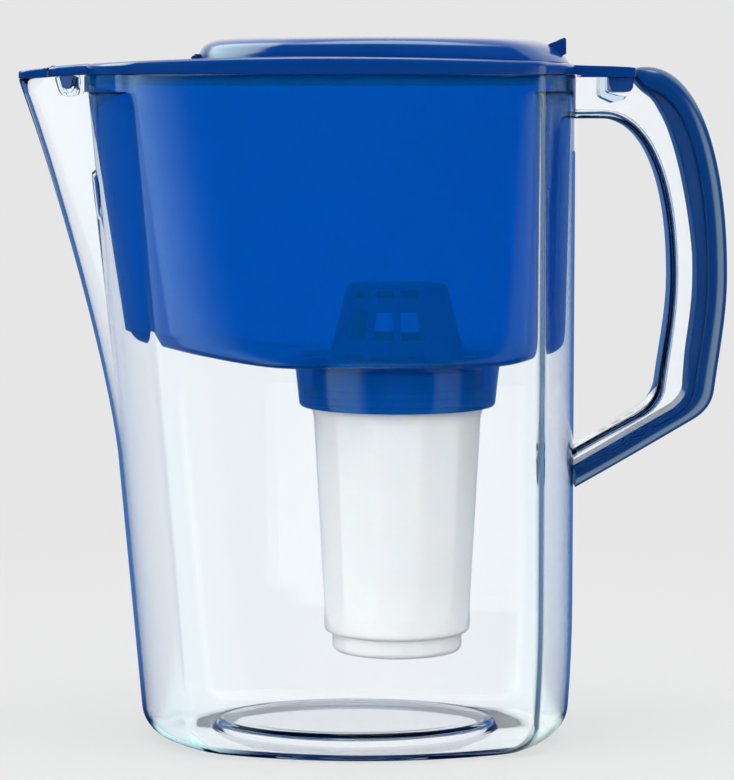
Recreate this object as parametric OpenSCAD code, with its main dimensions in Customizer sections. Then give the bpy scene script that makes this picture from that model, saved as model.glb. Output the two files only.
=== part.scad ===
// Water filter pitcher with a flip lid: a clear jug, a hopper that drops into it,
// a replaceable cartridge seated in the hopper, and a lid with a filling hatch and a spout flap.
// Millimetres. +Z is up, the spout points along -X and the handle along +X.
// The origin lies on the table, halfway between the tip of the spout and the back of the grip.

/* [Jug] */
// Height of the jug's rim above the table
rim_z = 242; // [230:1:255]
// Length of the jug at the rim, without spout and handle
rim_len = 178.5; // [168:0.5:190]
// Width of the jug at the rim
rim_w = 112; // [104:1:118]
// Width of the jug at the base
base_w = 109; // [100:1:111]
// How far the front wall leans in from the rim to the base
front_lean = 21; // [12:1:26]
// How far the foot of the rear wall leans in
rear_lean = 2.4; // [0:0.2:5]
// Bow of the front wall, from its corners to its nose
front_bow = 19.5; // [15:0.5:24]
// Bow of the rear wall
rear_bow = 13.5; // [9:0.5:18]
// Bulge of each side wall
side_bulge = 12; // [7:0.5:14]
// Setback of the rounded corners between the walls
corner_r = 4; // [3:0.5:8]
// Radius between the end walls and the base
base_r = 11; // [7:0.5:15]
// Width of the rounding between the side walls and the base
base_side_r = 5; // [4:0.5:8]
// Thickness of the jug's wall
wall = 2.2; // [1.8:0.1:2.6]
// Thickness of the jug's base
floor_t = 2.4; // [2:0.1:3.5]
// Thickness of the wall left around the mouth, outside the hopper's seat
lip_wall = 1.1; // [0.8:0.1:1.4]
// Depth of the hopper's seat below the rim
seat_depth = 6.2; // [4:0.2:9]
// Length of the oval recess under the base
recess_len = 100; // [80:1:110]
// Width of the oval recess
recess_w = 66; // [50:1:68]
// Height of the oval recess
recess_h = 4; // [2:0.5:6]

/* [Spout] */
// How far the spout reaches out from the front wall at the rim
spout_reach = 23.3; // [16:0.1:30]
// Half width of the spout at its root
spout_half_w = 17; // [13:0.5:20]
// Height at which the spout starts to grow out of the wall
spout_start = 105; // [80:1:140]
// Size of the rounded bracket that takes each spout-side lug of the lid
lug_len = 5.6; // [4:0.2:7]
// How far the lugs hang below the lid
lug_drop = 4.6; // [3:0.2:6]
// Thickness of the lugs
lug_t = 1.8; // [1.4:0.1:2.4]
// Thickness of the bracket's rib
bracket_t = 1.3; // [1:0.1:2]
// Gap between a lug and its bracket
bracket_gap = 0.9; // [0.4:0.1:1.5]
// Depth of the bracket, from the spout's wall
bracket_depth = 3.6; // [2.8:0.2:5]

/* [Handle] */
// How far the back of the grip lies behind the rear wall
handle_reach = 55.2; // [48:0.2:62]
// Width of the handle
handle_w = 22; // [18:1:28]
// Height of the grip's top above the rim
handle_rise = 2.5; // [1:0.1:4]
// Distance down from the rim to the widest point of the grip
apex_drop = 74; // [60:1:85]
// Distance down from the rim to the lower bend of the grip
bend_drop = 121; // [110:1:135]
// Slope of the lower arm, in degrees
arm_angle = 30; // [20:1:38]
// Wall of the clear handle channel
channel_wall = 2.2; // [1.6:0.1:3]
// Depth of the whole handle section at the grip
section_back = 21; // [18:0.5:24]
// Depth of the whole handle section at the top
section_top = 18.2; // [16:0.2:21]
// Depth of the whole handle section at the lower arm
section_arm = 12.9; // [11:0.1:15]
// Depth of the grip outside the channel
grip_back = 7.8; // [6:0.2:9]
// Depth of the grip outside the channel along the lower arm
grip_arm = 5.2; // [4:0.2:6]
// How far the grip's tongue reaches into the channel
tongue = 3.6; // [2:0.2:5]
// Thickness of the catch in the channel
catch_t = 2.6; // [1.6:0.1:3.2]
// How far the grip's front end starts behind the rear wall
grip_start = 21.5; // [18:0.1:26]

/* [Hopper] */
// Depth of the hopper from the rim to the underside of its floor
hopper_depth = 103; // [94:1:110]
// Wall of the hopper
hopper_wall = 1.8; // [1.4:0.1:2.4]
// Gap between jug and hopper walls just under the seat
hopper_gap_top = 0.6; // [0.4:0.1:1.2]
// Gap between jug and hopper walls at the hopper's floor
hopper_gap_floor = 3; // [1.5:0.5:6]
// Extra lean of the hopper's front wall
hopper_front_lean = 4; // [0:0.5:8]
// Radius between the hopper's walls and its floor
hopper_r = 5; // [3:0.5:8]
// Rise of the floor from the cartridge seat to the front wall
floor_rise_front = 7; // [3:0.5:10]
// Rise of the floor from the cartridge seat to the rear wall
floor_rise_rear = 3; // [1:0.5:6]
// Outer radius of the cartridge collar at its lower edge
collar_r = 36; // [35:0.1:37]
// How much wider the collar is at its root
collar_flare = 1.6; // [0.5:0.1:3]
// Height of the collar below the floor
collar_h = 17; // [14:0.5:20]

/* [Lid] */
// Height of the lid frame above the rim at its middle
frame_h = 6.2; // [5.4:0.1:7.5]
// Height of the lid frame above the rim at the spout flap
frame_h_front = 3.2; // [2.8:0.1:4]
// Height of the lid frame above the rim at the rear wall
frame_h_rear = 4; // [3.6:0.1:5]
// Thickness of the lid's deck and skirt
deck_t = 1.9; // [1.5:0.1:2.4]
// Depth of the locating lip below the rim
lid_lip = 4; // [2:0.5:6]
// Height of the hatch's top above the rim
hatch_h = 13.2; // [11:0.1:16]
// Wall of the hatch
hatch_t = 1.8; // [1.4:0.1:2.4]
// Width of the hatch
hatch_w = 99; // [90:1:103]
// Bow of the hatch's front end
hatch_bow = 24; // [16:1:28]
// Distance from the front wall's nose back to the hatch's hinge
hatch_setback = 41; // [34:1:48]
// Width of the rim left uncovered by the hatch at the rear wall
hatch_rear_gap = 2.4; // [1.5:0.1:4]
// Width of the deck between the hatch's edge and the filling hole
hole_margin = 5; // [4:0.5:7]
// Radius of the hatch's hinge barrel
barrel_r = 1.9; // [1.7:0.1:2.2]
// Radius of the hatch's hinge trunnions
trunnion_r = 1; // [0.8:0.1:1.1]
// Half length of the hatch's hinge barrel
barrel_half = 9; // [6:0.5:10]
// Length of one trunnion
trunnion_len = 3; // [2:0.2:4]
// Width of the thumb tab
tab_w = 26; // [16:1:34]
// Length of the thumb tab
tab_len = 6.6; // [5:0.2:8]
// Height of the thumb tab's rear face
tab_h = 6; // [4:0.2:7]
// Distance from the spout's tip back to the flap's seam
flap_len = 11.1; // [8:0.1:14]
// Radius of the spout flap's hinge barrel
flap_barrel_r = 1.1; // [0.9:0.05:1.2]
// Radius of the spout flap's trunnions
flap_trunnion_r = 0.6; // [0.5:0.05:0.7]
// Half length of the spout flap's hinge barrel
flap_barrel_half = 5; // [3:0.5:6]
// Length of the latch tab that drops into the handle channel
latch_len = 9.4; // [6:0.2:11]
// How far the latch tab hangs below the rim
latch_drop = 6.1; // [4:0.1:8]

/* [Cartridge] */
// Distance from the rear wall forward to the cartridge's axis
cart_setback = 64.4; // [60:0.2:70]
// Radius of the cartridge's flange
flange_r = 33.6; // [33:0.1:34]
// Thickness of the flange
flange_t = 2.4; // [1.8:0.1:3]
// Outer radius of the housing just under the flange
housing_r_top = 31.6; // [30:0.1:32]
// Outer radius of the housing at its foot
housing_r_foot = 26.8; // [25.4:0.1:28.4]
// Length of the housing below the flange
housing_h = 85.5; // [75:0.5:95]
// Wall of the housing
housing_wall = 1.4; // [1.1:0.1:1.8]
// Height of the neck above the flange, inside the collar
neck_h = 9.6; // [8:0.2:11]
// Outer radius of the base cap
cap_r = 23.9; // [22.5:0.1:24.8]
// Height of the base cap
cap_h = 7.2; // [6:0.2:9]
// Radius of the intake cage at its foot
cage_r_foot = 25.4; // [24:0.1:27]
// Radius of the intake cage at its top
cage_r_top = 18.6; // [16:0.1:21]
// Height of the intake cage above the neck
cage_h = 30; // [24:0.5:34]
// Height of one window of the cage
window_h = 10.1; // [7:0.1:12]
// Width of one window
window_w = 7.8; // [5:0.1:8.5]
// Distance from one row of windows to the next
window_pitch = 15.2; // [13:0.1:17]
// Height of the middle row's sill above the neck
window_sill = 11; // [8:0.1:14]
// Section radius of the seal ring
seal_r = 1.5; // [1.2:0.1:1.8]
// Thickness of each felt pad
pad_t = 3.2; // [2:0.2:5]
// Thickness of each mesh disc
mesh_t = 0.6; // [0.5:0.1:0.9]
// Depth of the bed of filter granules
bed_h = 66; // [50:1:70]

/* [Fits] */
// Clearance between parts that drop into one another
fit = 0.3; // [0.2:0.05:0.45]
// Radial running clearance of the hinges
run = 0.05; // [0.03:0.01:0.09]

/* [Hidden] */
$fn = 64;

// Stations along X
tip_x = -(spout_reach + rim_len + handle_reach) / 2;
nose_x = tip_x + spout_reach;
rear_x = nose_x + rim_len;
back_x = rear_x + handle_reach;
cart_x = rear_x - cart_setback;
seam_x = tip_x + flap_len;
mid_x = (nose_x + rear_x) / 2;

// Stations along Z
floor_z = rim_z - hopper_depth;
collar_z = floor_z - collar_h;
ledge_t = 2.2;
seat_z = collar_z + ledge_t;
band_z = rim_z - seat_depth;

// ---- outlines ----

// Points on each stretch of half an outline
SPOUT_STEPS = 5;
FRONT_STEPS = 3;
CORNER_STEPS = 3;
SIDE_STEPS = 8;
REAR_STEPS = 4;
// Exponent of the spout's rounded section, and of its growth with height
SPOUT_ROUND = 1.8;
SPOUT_GROWTH = 1.4;

function mix(a, b, t) = a + (b - a) * t;
function clamp01(t) = max(0, min(1, t));
function bezier2(a, b, c, t) = (1 - t) * (1 - t) * a + 2 * t * (1 - t) * b + t * t * c;
function bezier3(a, b, c, d, t) =
    pow(1 - t, 3) * a + 3 * t * pow(1 - t, 2) * b + 3 * t * t * (1 - t) * c + pow(t, 3) * d;
function mirrored(half) = concat(half, [for (i = [len(half) - 2:-1:1]) [half[i].x, -half[i].y]]);

// A closed outline in plan: bowed front and rear walls and bulging sides with rounded corners.
// It starts at the nose and runs round the +Y side. s is the spout's reach, sw its half width.
function outline(xf, xr, w, bow_f, bow_r, bulge, r, s = 0, sw = 10) =
    let (
        yc = w - bulge,
        xa = xf + bow_f,
        xb = xr - bow_r,
        xm = (xa + xb) / 2,
        hl = (xb - xa) / 2,
        front = function (y) xf + bow_f * pow(y / yc, 2) - (y < sw ? s * (1 - pow(y / sw, SPOUT_ROUND)) : 0),
        rear = function (y) xr - bow_r * pow(y / yc, 2),
        side = function (x) yc + bulge * (1 - pow((x - xm) / hl, 2)),
        ya = yc - r,
        front_pts = [for (i = [0:SPOUT_STEPS]) let (y = sw * i / SPOUT_STEPS) [front(y), y]],
        front_more = [for (i = [1:FRONT_STEPS]) let (y = mix(sw, ya, i / FRONT_STEPS)) [front(y), y]],
        side_pts = [for (i = [0:SIDE_STEPS]) let (x = mix(xa + r, xb - r, i / SIDE_STEPS)) [x, side(x)]],
        rear_pts = [for (i = [REAR_STEPS:-1:0]) let (y = ya * i / REAR_STEPS) [rear(y), y]],
        corner_a = [for (i = [1:CORNER_STEPS])
            bezier2([front(ya), ya], [xa, yc], side_pts[0], i / (CORNER_STEPS + 1))],
        corner_b = [for (i = [1:CORNER_STEPS])
            bezier2(side_pts[SIDE_STEPS], [xb, yc], rear_pts[0], i / (CORNER_STEPS + 1))]
    )
    mirrored(concat(front_pts, front_more, corner_a, side_pts, corner_b, rear_pts));

// How far the spout reaches out of the front wall at height z
function spout_at(z) =
    spout_reach * pow(clamp01((z - spout_start) / (rim_z - spout_start)), SPOUT_GROWTH);

// Height up to which the foot of the rear wall leans in
REAR_FOOT = 50;

// The jug's outline at height z, taken in by an inset, and by a further amount at the sides
function jug_outline(z, inset = 0, spout = true, lean = 0, side_in = 0) =
    outline(
        nose_x + front_lean * (1 - z / rim_z) + inset + lean,
        rear_x - rear_lean * pow(1 - clamp01(z / REAR_FOOT), 2) - inset,
        mix(base_w, rim_w, clamp01(z / rim_z)) / 2 - inset - side_in,
        front_bow, rear_bow, side_bulge, corner_r,
        spout ? spout_at(z) : 0, spout_half_w - (spout ? inset : 0)
    );

function at_z(pts, z) = [for (p = pts) [p.x, p.y, z]];

// A closed solid through rings of equal length, each symmetric about Y. Its ends are capped by strips
// across Y, so that an end whose height varies along X stays true.
module loft(rings) {
    n = len(rings[0]);
    m = len(rings);
    last = (m - 1) * n;
    sides = [for (j = [0:m - 2]) for (i = [0:n - 1])
        let (a = j * n + i, b = j * n + (i + 1) % n)
        each [[a, b + n, a + n], [a, b, b + n]]];
    strips = [for (i = [0:n / 2 - 1])
        let (a = i, b = i + 1, c = (n - i - 1) % n, d = (n - i) % n)
        each [
            if (b != c) [a, c, b],
            if (a != d) [a, d, c],
        ]];
    flipped = [for (f = strips) [f[0] + last, f[2] + last, f[1] + last]];
    polyhedron(points = [for (r = rings) each r], faces = concat(sides, strips, flipped));
}

// ---- jug ----

FILLET_ANGLES = [0, 30, 60, 90];
// Rings of the jug between its foot and its rim
jug_levels = concat([REAR_FOOT], [for (i = [0:8]) mix(spout_start, rim_z, i / 8)]);

function jug_ring(z, inset) = at_z(jug_outline(z, inset), z);
// Rings of the rounding at the foot: r at the ends, r_side wide at the sides
function foot_rings(r, r_side, z0, inset) =
    [for (a = FILLET_ANGLES)
        let (z = z0 + r * (1 - cos(a)))
        at_z(jug_outline(z, inset + r * (1 - sin(a)), side_in = (r_side - r) * (1 - sin(a))), z)];

module jug_shell() {
    up = concat(foot_rings(base_r, base_side_r, 0, 0), [for (z = jug_levels) jug_ring(z, 0)]);
    inner_levels = [for (z = jug_levels) if (z < band_z) z];
    inside = concat(
        foot_rings(base_r - wall, base_side_r - wall, floor_t, wall),
        [for (z = inner_levels) jug_ring(z, wall)],
        [jug_ring(band_z, wall), jug_ring(band_z, lip_wall), jug_ring(rim_z, lip_wall)]
    );
    loft(concat(up, [for (i = [len(inside) - 1:-1:0]) inside[i]]));
}

module oval(length, width, h) {
    linear_extrude(h)
        polygon([for (a = [0:7.5:359]) [length / 2 * cos(a), width / 2 * sin(a)]]);
}

// Middle of the flat part of the base
recess_x = (nose_x + front_lean + rear_x - rear_lean) / 2;

// ---- handle ----

// Points on the long curve of the handle, and on each of its short ones
CURVE_STEPS = 9;
SHORT_STEPS = 4;
// Shares of the long curve's span that its control points lie at
CURVE_REACH = 0.65;
CURVE_DROP = 0.6;
// Where the finger side starts behind the rear wall
FINGER_START = 9;
bend_z = rim_z - bend_drop;
// How far the bend lies inside the back of the grip
BEND_IN = 5;
// Setback of the rounding at the bend
BEND_ROUND = 7;
top_z = rim_z + handle_rise;
apex_z = rim_z - apex_drop;
// Where the handle runs into the rear wall
root_x = rear_x - wall / 2;

// One edge of the handle, from its upper front end to the rear wall, each stretch inset by its own depth
function handle_edge(x0, top_in, back_in, arm_in, rise) =
    let (
        a = [x0, top_z - top_in],
        b = [back_x - back_in, apex_z],
        kx = back_x - BEND_IN - back_in,
        arm = function (x) bend_z + tan(arm_angle) * (x - back_x + BEND_IN) + arm_in / cos(arm_angle),
        k = [kx, arm(kx)],
        k_up = k + BEND_ROUND * (b - k) / norm(b - k),
        k_end = [kx - BEND_ROUND, arm(kx - BEND_ROUND)],
        reach = [CURVE_REACH * (b.x - a.x), rise],
        drop = [0, CURVE_DROP * (a.y - b.y)],
        tail = (b.y - k_up.y) / 3
    )
    concat(
        [for (i = [0:CURVE_STEPS]) bezier3(a, a + reach, b + drop, b, i / CURVE_STEPS)],
        [for (i = [1:SHORT_STEPS])
            bezier3(b, b - [0, tail], k_up + [tail / 8, tail], k_up, i / SHORT_STEPS)],
        [for (i = [1:SHORT_STEPS]) bezier2(k_up, k, k_end, i / SHORT_STEPS)],
        [[root_x, arm(root_x)]]
    );

function finger_edge(t = 0) =
    handle_edge(rear_x + FINGER_START, section_top - t, section_back - t, section_arm - t, 0);
// How far the first control point of each edge rises above its start
OUTER_RISE = 4.5;
RIM_RISE = 3;
TONGUE_RISE = 1;
function grip_outer() = handle_edge(grip_start_x, 0, 0, 0, OUTER_RISE);
function channel_rim() = handle_edge(grip_start_x, grip_back, grip_back, grip_arm, RIM_RISE);
function tongue_edge() =
    handle_edge(grip_start_x, grip_back + tongue, grip_back + tongue, grip_arm + tongue / 2, TONGUE_RISE);
function reversed(pts) = [for (i = [len(pts) - 1:-1:0]) pts[i]];
grip_start_x = rear_x + grip_start;

// Extrudes an XZ outline across Y, centred
module across(w) {
    rotate([90, 0, 0]) linear_extrude(w, center = true) children();
}

module handle_profile() {
    polygon(concat(
        [[root_x, finger_edge()[0].y]], finger_edge(), reversed(channel_rim()),
        [[grip_start_x, rim_z - fit], [root_x, rim_z - fit]]
    ));
}

// The hollow of the handle, open along its back
module channel_profile() {
    inner = finger_edge(channel_wall);
    below = bend_z - handle_reach;
    above = rim_z + handle_reach;
    polygon(concat(
        [[rear_x, inner[0].y]], [for (i = [0:len(inner) - 2]) inner[i]],
        [[rear_x, inner[len(inner) - 1].y], [rear_x, below], [back_x + wall, below],
            [back_x + wall, above], [rear_x, above]]
    ));
}

// Gap between the latch tab and the grip's front end
LATCH_GAP = 0.8;
// Gap between the latch tab and the catch
CATCH_GAP = 0.5;
latch_x = grip_start_x - LATCH_GAP - latch_len;
latch_z = rim_z - latch_drop;
// The J-shaped catch that guides the lid's latch tab in the channel
module catch_profile() {
    x1 = latch_x - CATCH_GAP;
    x0 = x1 - catch_t;
    top = rim_z - 2 * fit;
    low = latch_z - fit;
    hook = latch_len * 0.75;
    polygon([[x0, top], [x1, top], [x1, low], [x1 + hook * 0.7, low - 1], [x1 + hook, low - 1.3],
        [x1 + hook * 0.85, low - catch_t], [x1 + hook * 0.35, low - catch_t - 0.7], [x0, low - 0.5]]);
}

// The latch tab, narrower at its foot
module latch_profile() {
    x1 = latch_x + latch_len;
    polygon([[latch_x, rim_z + 1], [latch_x + 0.6, latch_z + 1.2], [latch_x + 1.8, latch_z],
        [x1 - 1.8, latch_z], [x1 - 0.6, latch_z + 1.2], [x1, rim_z + 1]]);
}

// Gap between a lug and the spout's wall
LUG_CLEAR = 0.6;
// Place of a spout-side lug on the spout's wall, and the wall's angle there
lug_x = nose_x - lug_len;
function spout_y(x) = spout_half_w * pow(1 - (nose_x - x) / spout_reach, 1 / SPOUT_ROUND);
lug_angle = atan((spout_y(lug_x + lug_len / 2) - spout_y(lug_x - lug_len / 2)) / lug_len);
module at_lugs() {
    for (side = [0, 1]) mirror([0, side, 0])
        translate([lug_x, spout_y(lug_x), 0]) rotate([0, 0, lug_angle]) children();
}

// A rounded tongue shape hanging from the rim, in XZ
module hanging(length, drop) {
    r = length / 2;
    intersection() {
        translate([0, r - drop]) circle(r);
        translate([-r, -drop]) square([length, drop]);
    }
    translate([-r, min(0, r - drop)]) square([length, max(0.01, drop - r)]);
}

module bracket() {
    g = 2 * bracket_gap;
    translate([0, -wall / 2, rim_z - fit]) rotate([90, 0, 0]) linear_extrude(bracket_depth)
        difference() {
            hanging(lug_len + g + 2 * bracket_t, lug_drop + bracket_gap + bracket_t);
            hanging(lug_len + g, lug_drop + bracket_gap);
        }
}

module jug_body() {
    color("#dfe9f5") {
        difference() {
            union() {
                jug_shell();
                translate([recess_x, 0, floor_t / 2])
                    oval(recess_len + 2 * wall, recess_w + 2 * wall, recess_h + floor_t / 2);
                difference() {
                    across(handle_w) handle_profile();
                    across(handle_w - 2 * channel_wall) channel_profile();
                }
                across(handle_w - channel_wall) catch_profile();
                at_lugs() bracket();
            }
            translate([recess_x, 0, -1]) oval(recess_len, recess_w, recess_h + 1);
        }
    }
}

module handle_grip() {
    color("#0a3f86") {
        intersection() {
            union() {
                across(handle_w) polygon(concat(grip_outer(), reversed(channel_rim())));
                across(handle_w - 2 * channel_wall - 2 * fit)
                    polygon(concat(grip_outer(), reversed(tongue_edge())));
            }
            translate([rear_x + fit, -handle_w, 0]) cube([handle_reach, 2 * handle_w, 2 * rim_z]);
        }
    }
}

// ---- hopper ----

flat_front_x = cart_x - collar_r;
flat_rear_x = cart_x + collar_r - 4;
// Underside of the hopper's floor, which falls to the cartridge seat
function floor_at(x) =
    floor_z
    + floor_rise_front * clamp01((flat_front_x - x) / (flat_front_x - nose_x - 15))
    + floor_rise_rear * clamp01((x - flat_rear_x) / (rear_x - 6 - flat_rear_x));

function hopper_outline(z, inset) =
    let (t = clamp01((z - floor_z) / (band_z - floor_z)))
    jug_outline(z, wall + mix(hopper_gap_floor, hopper_gap_top, t) + inset, false,
        hopper_front_lean * (1 - t));
function on_floor(pts, up) = [for (p = pts) [p.x, p.y, floor_at(p.x) + up]];
band_t = 1.5;
band_inset = lip_wall + fit;
// Height above the seat at which the inside of the band starts to narrow, and how far below it ends
BAND_ABOVE = 1.4;
BAND_BELOW = 1;

module hopper_shell() {
    r_in = hopper_r - hopper_wall;
    lower = [for (a = FILLET_ANGLES)
        on_floor(hopper_outline(floor_z, hopper_r * (1 - sin(a))), hopper_r * (1 - cos(a)))];
    lower_in = [for (a = FILLET_ANGLES)
        on_floor(hopper_outline(floor_z, hopper_wall + r_in * (1 - sin(a))),
            hopper_wall + r_in * (1 - cos(a)))];
    mouth = band_inset + band_t;
    top_in = [for (z = [rim_z, band_z + BAND_ABOVE]) at_z(jug_outline(z, mouth, false), z)];
    neck_z = band_z - BAND_BELOW;
    band_in = at_z(hopper_outline(neck_z, hopper_wall), neck_z);
    loft(concat(
        lower,
        [at_z(hopper_outline(band_z, 0), band_z)],
        [at_z(jug_outline(band_z, band_inset, false), band_z)],
        [at_z(jug_outline(rim_z, band_inset, false), rim_z)],
        top_in,
        [band_in],
        reversed(lower_in)
    ));
}

// Gaps round the cartridge's flange, and round its housing where it passes the ledge
FLANGE_GAP = 0.6;
HOUSING_GAP = 0.8;
bore_r = flange_r + FLANGE_GAP;
module hopper() {
    color("#0a4fae", 0.9) difference() {
        union() {
            hopper_shell();
            translate([cart_x, 0, collar_z])
                cylinder(r1 = collar_r, r2 = collar_r + collar_flare, h = collar_h + hopper_wall * 0.9);
        }
        translate([cart_x, 0, seat_z]) cylinder(r = bore_r, h = 2 * collar_h);
        translate([cart_x, 0, collar_z - 1]) cylinder(r = housing_r_top + HOUSING_GAP, h = 2 * ledge_t);
    }
}

// ---- lid ----

hatch_x = nose_x + hatch_setback;
hatch_rear_x = rear_x - hatch_rear_gap;
// How far the hatch's front wall lies behind its hinge
HATCH_FRONT = 0.4;
// Gap under the hatch's edge
HATCH_SEAT = 0.2;
// Bulge of the hatch's sides, as a share of the jug's
HATCH_BULGE = 0.8;
// Gap at each end of a hinge barrel, and round it in its groove
barrel_gap = 0.25;
GROOVE_GAP = 0.3;
// Height of the hatch's hinge axis above the deck
HINGE_RISE = 0.5;
hinge_z = deck_at(hatch_x - 1) + HINGE_RISE;
// How much deeper each bore is than its trunnion is long
BORE_DEPTH = 0.4;

// Top of the lid's deck: it rises from the spout to the middle and falls to the rear wall
function deck_at(x) =
    rim_z + (x < mid_x
        ? mix(frame_h_front, frame_h, sin(90 * clamp01((x - seam_x) / (mid_x - seam_x))))
        : mix(frame_h, frame_h_rear, pow(clamp01((x - mid_x) / (rear_x - mid_x)), 2)));
DECK_STEPS = 16;
function deck_line(x0, x1, down = 0) =
    [for (i = [0:DECK_STEPS]) let (x = mix(x0, x1, i / DECK_STEPS)) [x, deck_at(x) - down]];

module lid_profile(x0, x1, down = 0) {
    polygon(concat(deck_line(x0, x1, down), [[x1, rim_z - 1], [x0, rim_z - 1]]));
}
module prism(pts, z0, z1) {
    translate([0, 0, z0]) linear_extrude(z1 - z0) polygon(pts);
}

function hatch_outline(inset_f, inset_s, inset_r) =
    outline(hatch_x + HATCH_FRONT + inset_f, hatch_rear_x - inset_r, hatch_w / 2 - inset_s,
        hatch_bow, rear_bow, side_bulge * HATCH_BULGE, corner_r + hatch_t);

tail_end_x = grip_start_x - fit;
tail_w = handle_w;
// Gap between the spout flap and the frame
SEAM_GAP = 0.5;
frame_front_x = seam_x + fit + SEAM_GAP;
// How far the tail laps over the deck, and how much lower it is than the deck
TAIL_LAP = 8;
TAIL_STEP = 0.8;
lip_inset = band_inset + band_t + fit;
lip_t = deck_t - fit;
// The locating lip's outline, clear of the hopper's mouth all the way down
function lip_outline(inset) = jug_outline(rim_z - lid_lip, lip_inset + inset, false);
// Place of the flap's hinge axis behind the seam and below the deck
FLAP_AXIS_BACK = 1.9;
FLAP_AXIS_DOWN = 1.1;
flap_axis_x = seam_x + FLAP_AXIS_BACK;
flap_axis_z = deck_at(flap_axis_x) - FLAP_AXIS_DOWN;
flap_trunnion_len = 2;

module knuckle_pair(x, z, r, from, to) {
    for (s = [-1, 1])
        translate([x, s * (from + to) / 2, z]) rotate([90, 0, 0])
            cylinder(r = r, h = to - from, center = true);
}
module along_y(x, z, r, w) {
    translate([x, 0, z]) rotate([90, 0, 0]) cylinder(r = r, h = w, center = true);
}

module lid_frame() {
    boss_to = barrel_half + barrel_gap + trunnion_len + BORE_DEPTH;
    tail_front_x = rear_x - TAIL_LAP;
    tail_h = frame_h_rear - TAIL_STEP;
    color("#0b4796") difference() {
        union() {
            // Deck and skirt
            intersection() {
                prism(jug_outline(rim_z, 0), rim_z, rim_z + frame_h + 1);
                across(rim_w + 10) difference() {
                    lid_profile(frame_front_x, rear_x);
                }
            }
            // Locating lip inside the hopper's mouth
            difference() {
                prism(lip_outline(0), rim_z - lid_lip, rim_z + 1);
                prism(lip_outline(lip_t), rim_z - lid_lip - 1, rim_z + 2);
            }
            // Tail over the handle, with its latch tab
            translate([tail_front_x, -tail_w / 2, rim_z])
                cube([tail_end_x - tail_front_x, tail_w, tail_h]);
            across(handle_w - 2 * channel_wall - 2 * fit) latch_profile();
            // Lugs beside the spout
            at_lugs() translate([0, -wall - LUG_CLEAR, rim_z + 1]) rotate([90, 0, 0])
                linear_extrude(lug_t) hanging(lug_len, lug_drop + 1);
            // Hinge bosses of the hatch
            knuckle_pair(hatch_x, hinge_z, barrel_r + fit / 2, barrel_half + barrel_gap, boss_to);
        }
        // Hollow under the deck, outside the locating lip
        difference() {
            intersection() {
                prism(jug_outline(rim_z, deck_t), rim_z - 1, rim_z + frame_h);
                across(rim_w) lid_profile(frame_front_x + deck_t, rear_x, deck_t);
            }
            hinge_block();
            flap_block();
            prism(hole_outline(-deck_t), rim_z - 1, rim_z + frame_h + 1);
            difference() {
                prism(lip_outline(0), rim_z - 1, rim_z + frame_h);
                prism(lip_outline(lip_t), rim_z - 2, rim_z + frame_h + 1);
            }
        }
        // Filling hole
        prism(hole_outline(0), rim_z - 1, rim_z + frame_h + 3);
        // Groove for the hatch's barrel, and bores for its trunnions
        along_y(hatch_x, hinge_z, barrel_r + GROOVE_GAP, 2 * (barrel_half + barrel_gap));
        along_y(hatch_x, hinge_z, trunnion_r + run, 2 * boss_to - BORE_DEPTH);
        // Notch for the flap's barrel, and bores for its trunnions
        translate([frame_front_x - 1, -flap_barrel_half - barrel_gap, rim_z - 1])
            cube([flap_axis_x + flap_barrel_r + fit - frame_front_x + 1,
                2 * (flap_barrel_half + barrel_gap), frame_h + 2]);
        along_y(flap_axis_x, flap_axis_z, flap_trunnion_r + run,
            2 * (flap_barrel_half + barrel_gap + flap_trunnion_len + BORE_DEPTH));
    }
}

function hole_outline(grow) =
    hatch_outline(hole_margin + 3 - grow, hole_margin - grow, hole_margin + 4 - grow);

// Solid stretches of the frame that carry the two hinges
module hinge_block() {
    w = barrel_half + barrel_gap + trunnion_len + deck_t;
    back = hatch_x + HATCH_FRONT + hole_margin + 3;
    front = hatch_x - 2.5 * barrel_r;
    translate([front, -w, rim_z - 1]) cube([back - front, 2 * w, frame_h + 1]);
}
module flap_block() {
    w = flap_barrel_half + barrel_gap + flap_trunnion_len + deck_t;
    translate([frame_front_x, -w, rim_z - 1]) cube([5 * flap_barrel_r, 2 * w, frame_h + 1]);
}

// Rings of the hatch as [height share, front, side and rear insets]
HATCH_RINGS = [[0, 0, 0, 0], [0.3, 1, 0.7, 2], [0.66, 3, 2, 6], [0.9, 7.5, 5, 13], [1, 16, 12, 26]];
function hatch_ring(s, i, down) =
    let (pts = hatch_outline(s[1] + i, s[2] + i, s[3] + i))
    [for (p = pts) [p.x, p.y, mix(deck_at(p.x) + HATCH_SEAT, rim_z + hatch_h - down, s[0])]];

// The thumb tab's section: a ramp that ends in an upright face
module tab_profile() {
    x = hatch_rear_x - 1.6;
    top = rim_z + hatch_h;
    polygon([[x - tab_len, top - tab_h * 0.4], [x - 0.6, top], [x, top - 0.4], [x, top - tab_h],
        [x - 2, top - tab_h - 0.8], [x - tab_len - 2, top - tab_h * 0.56]]);
}

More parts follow.
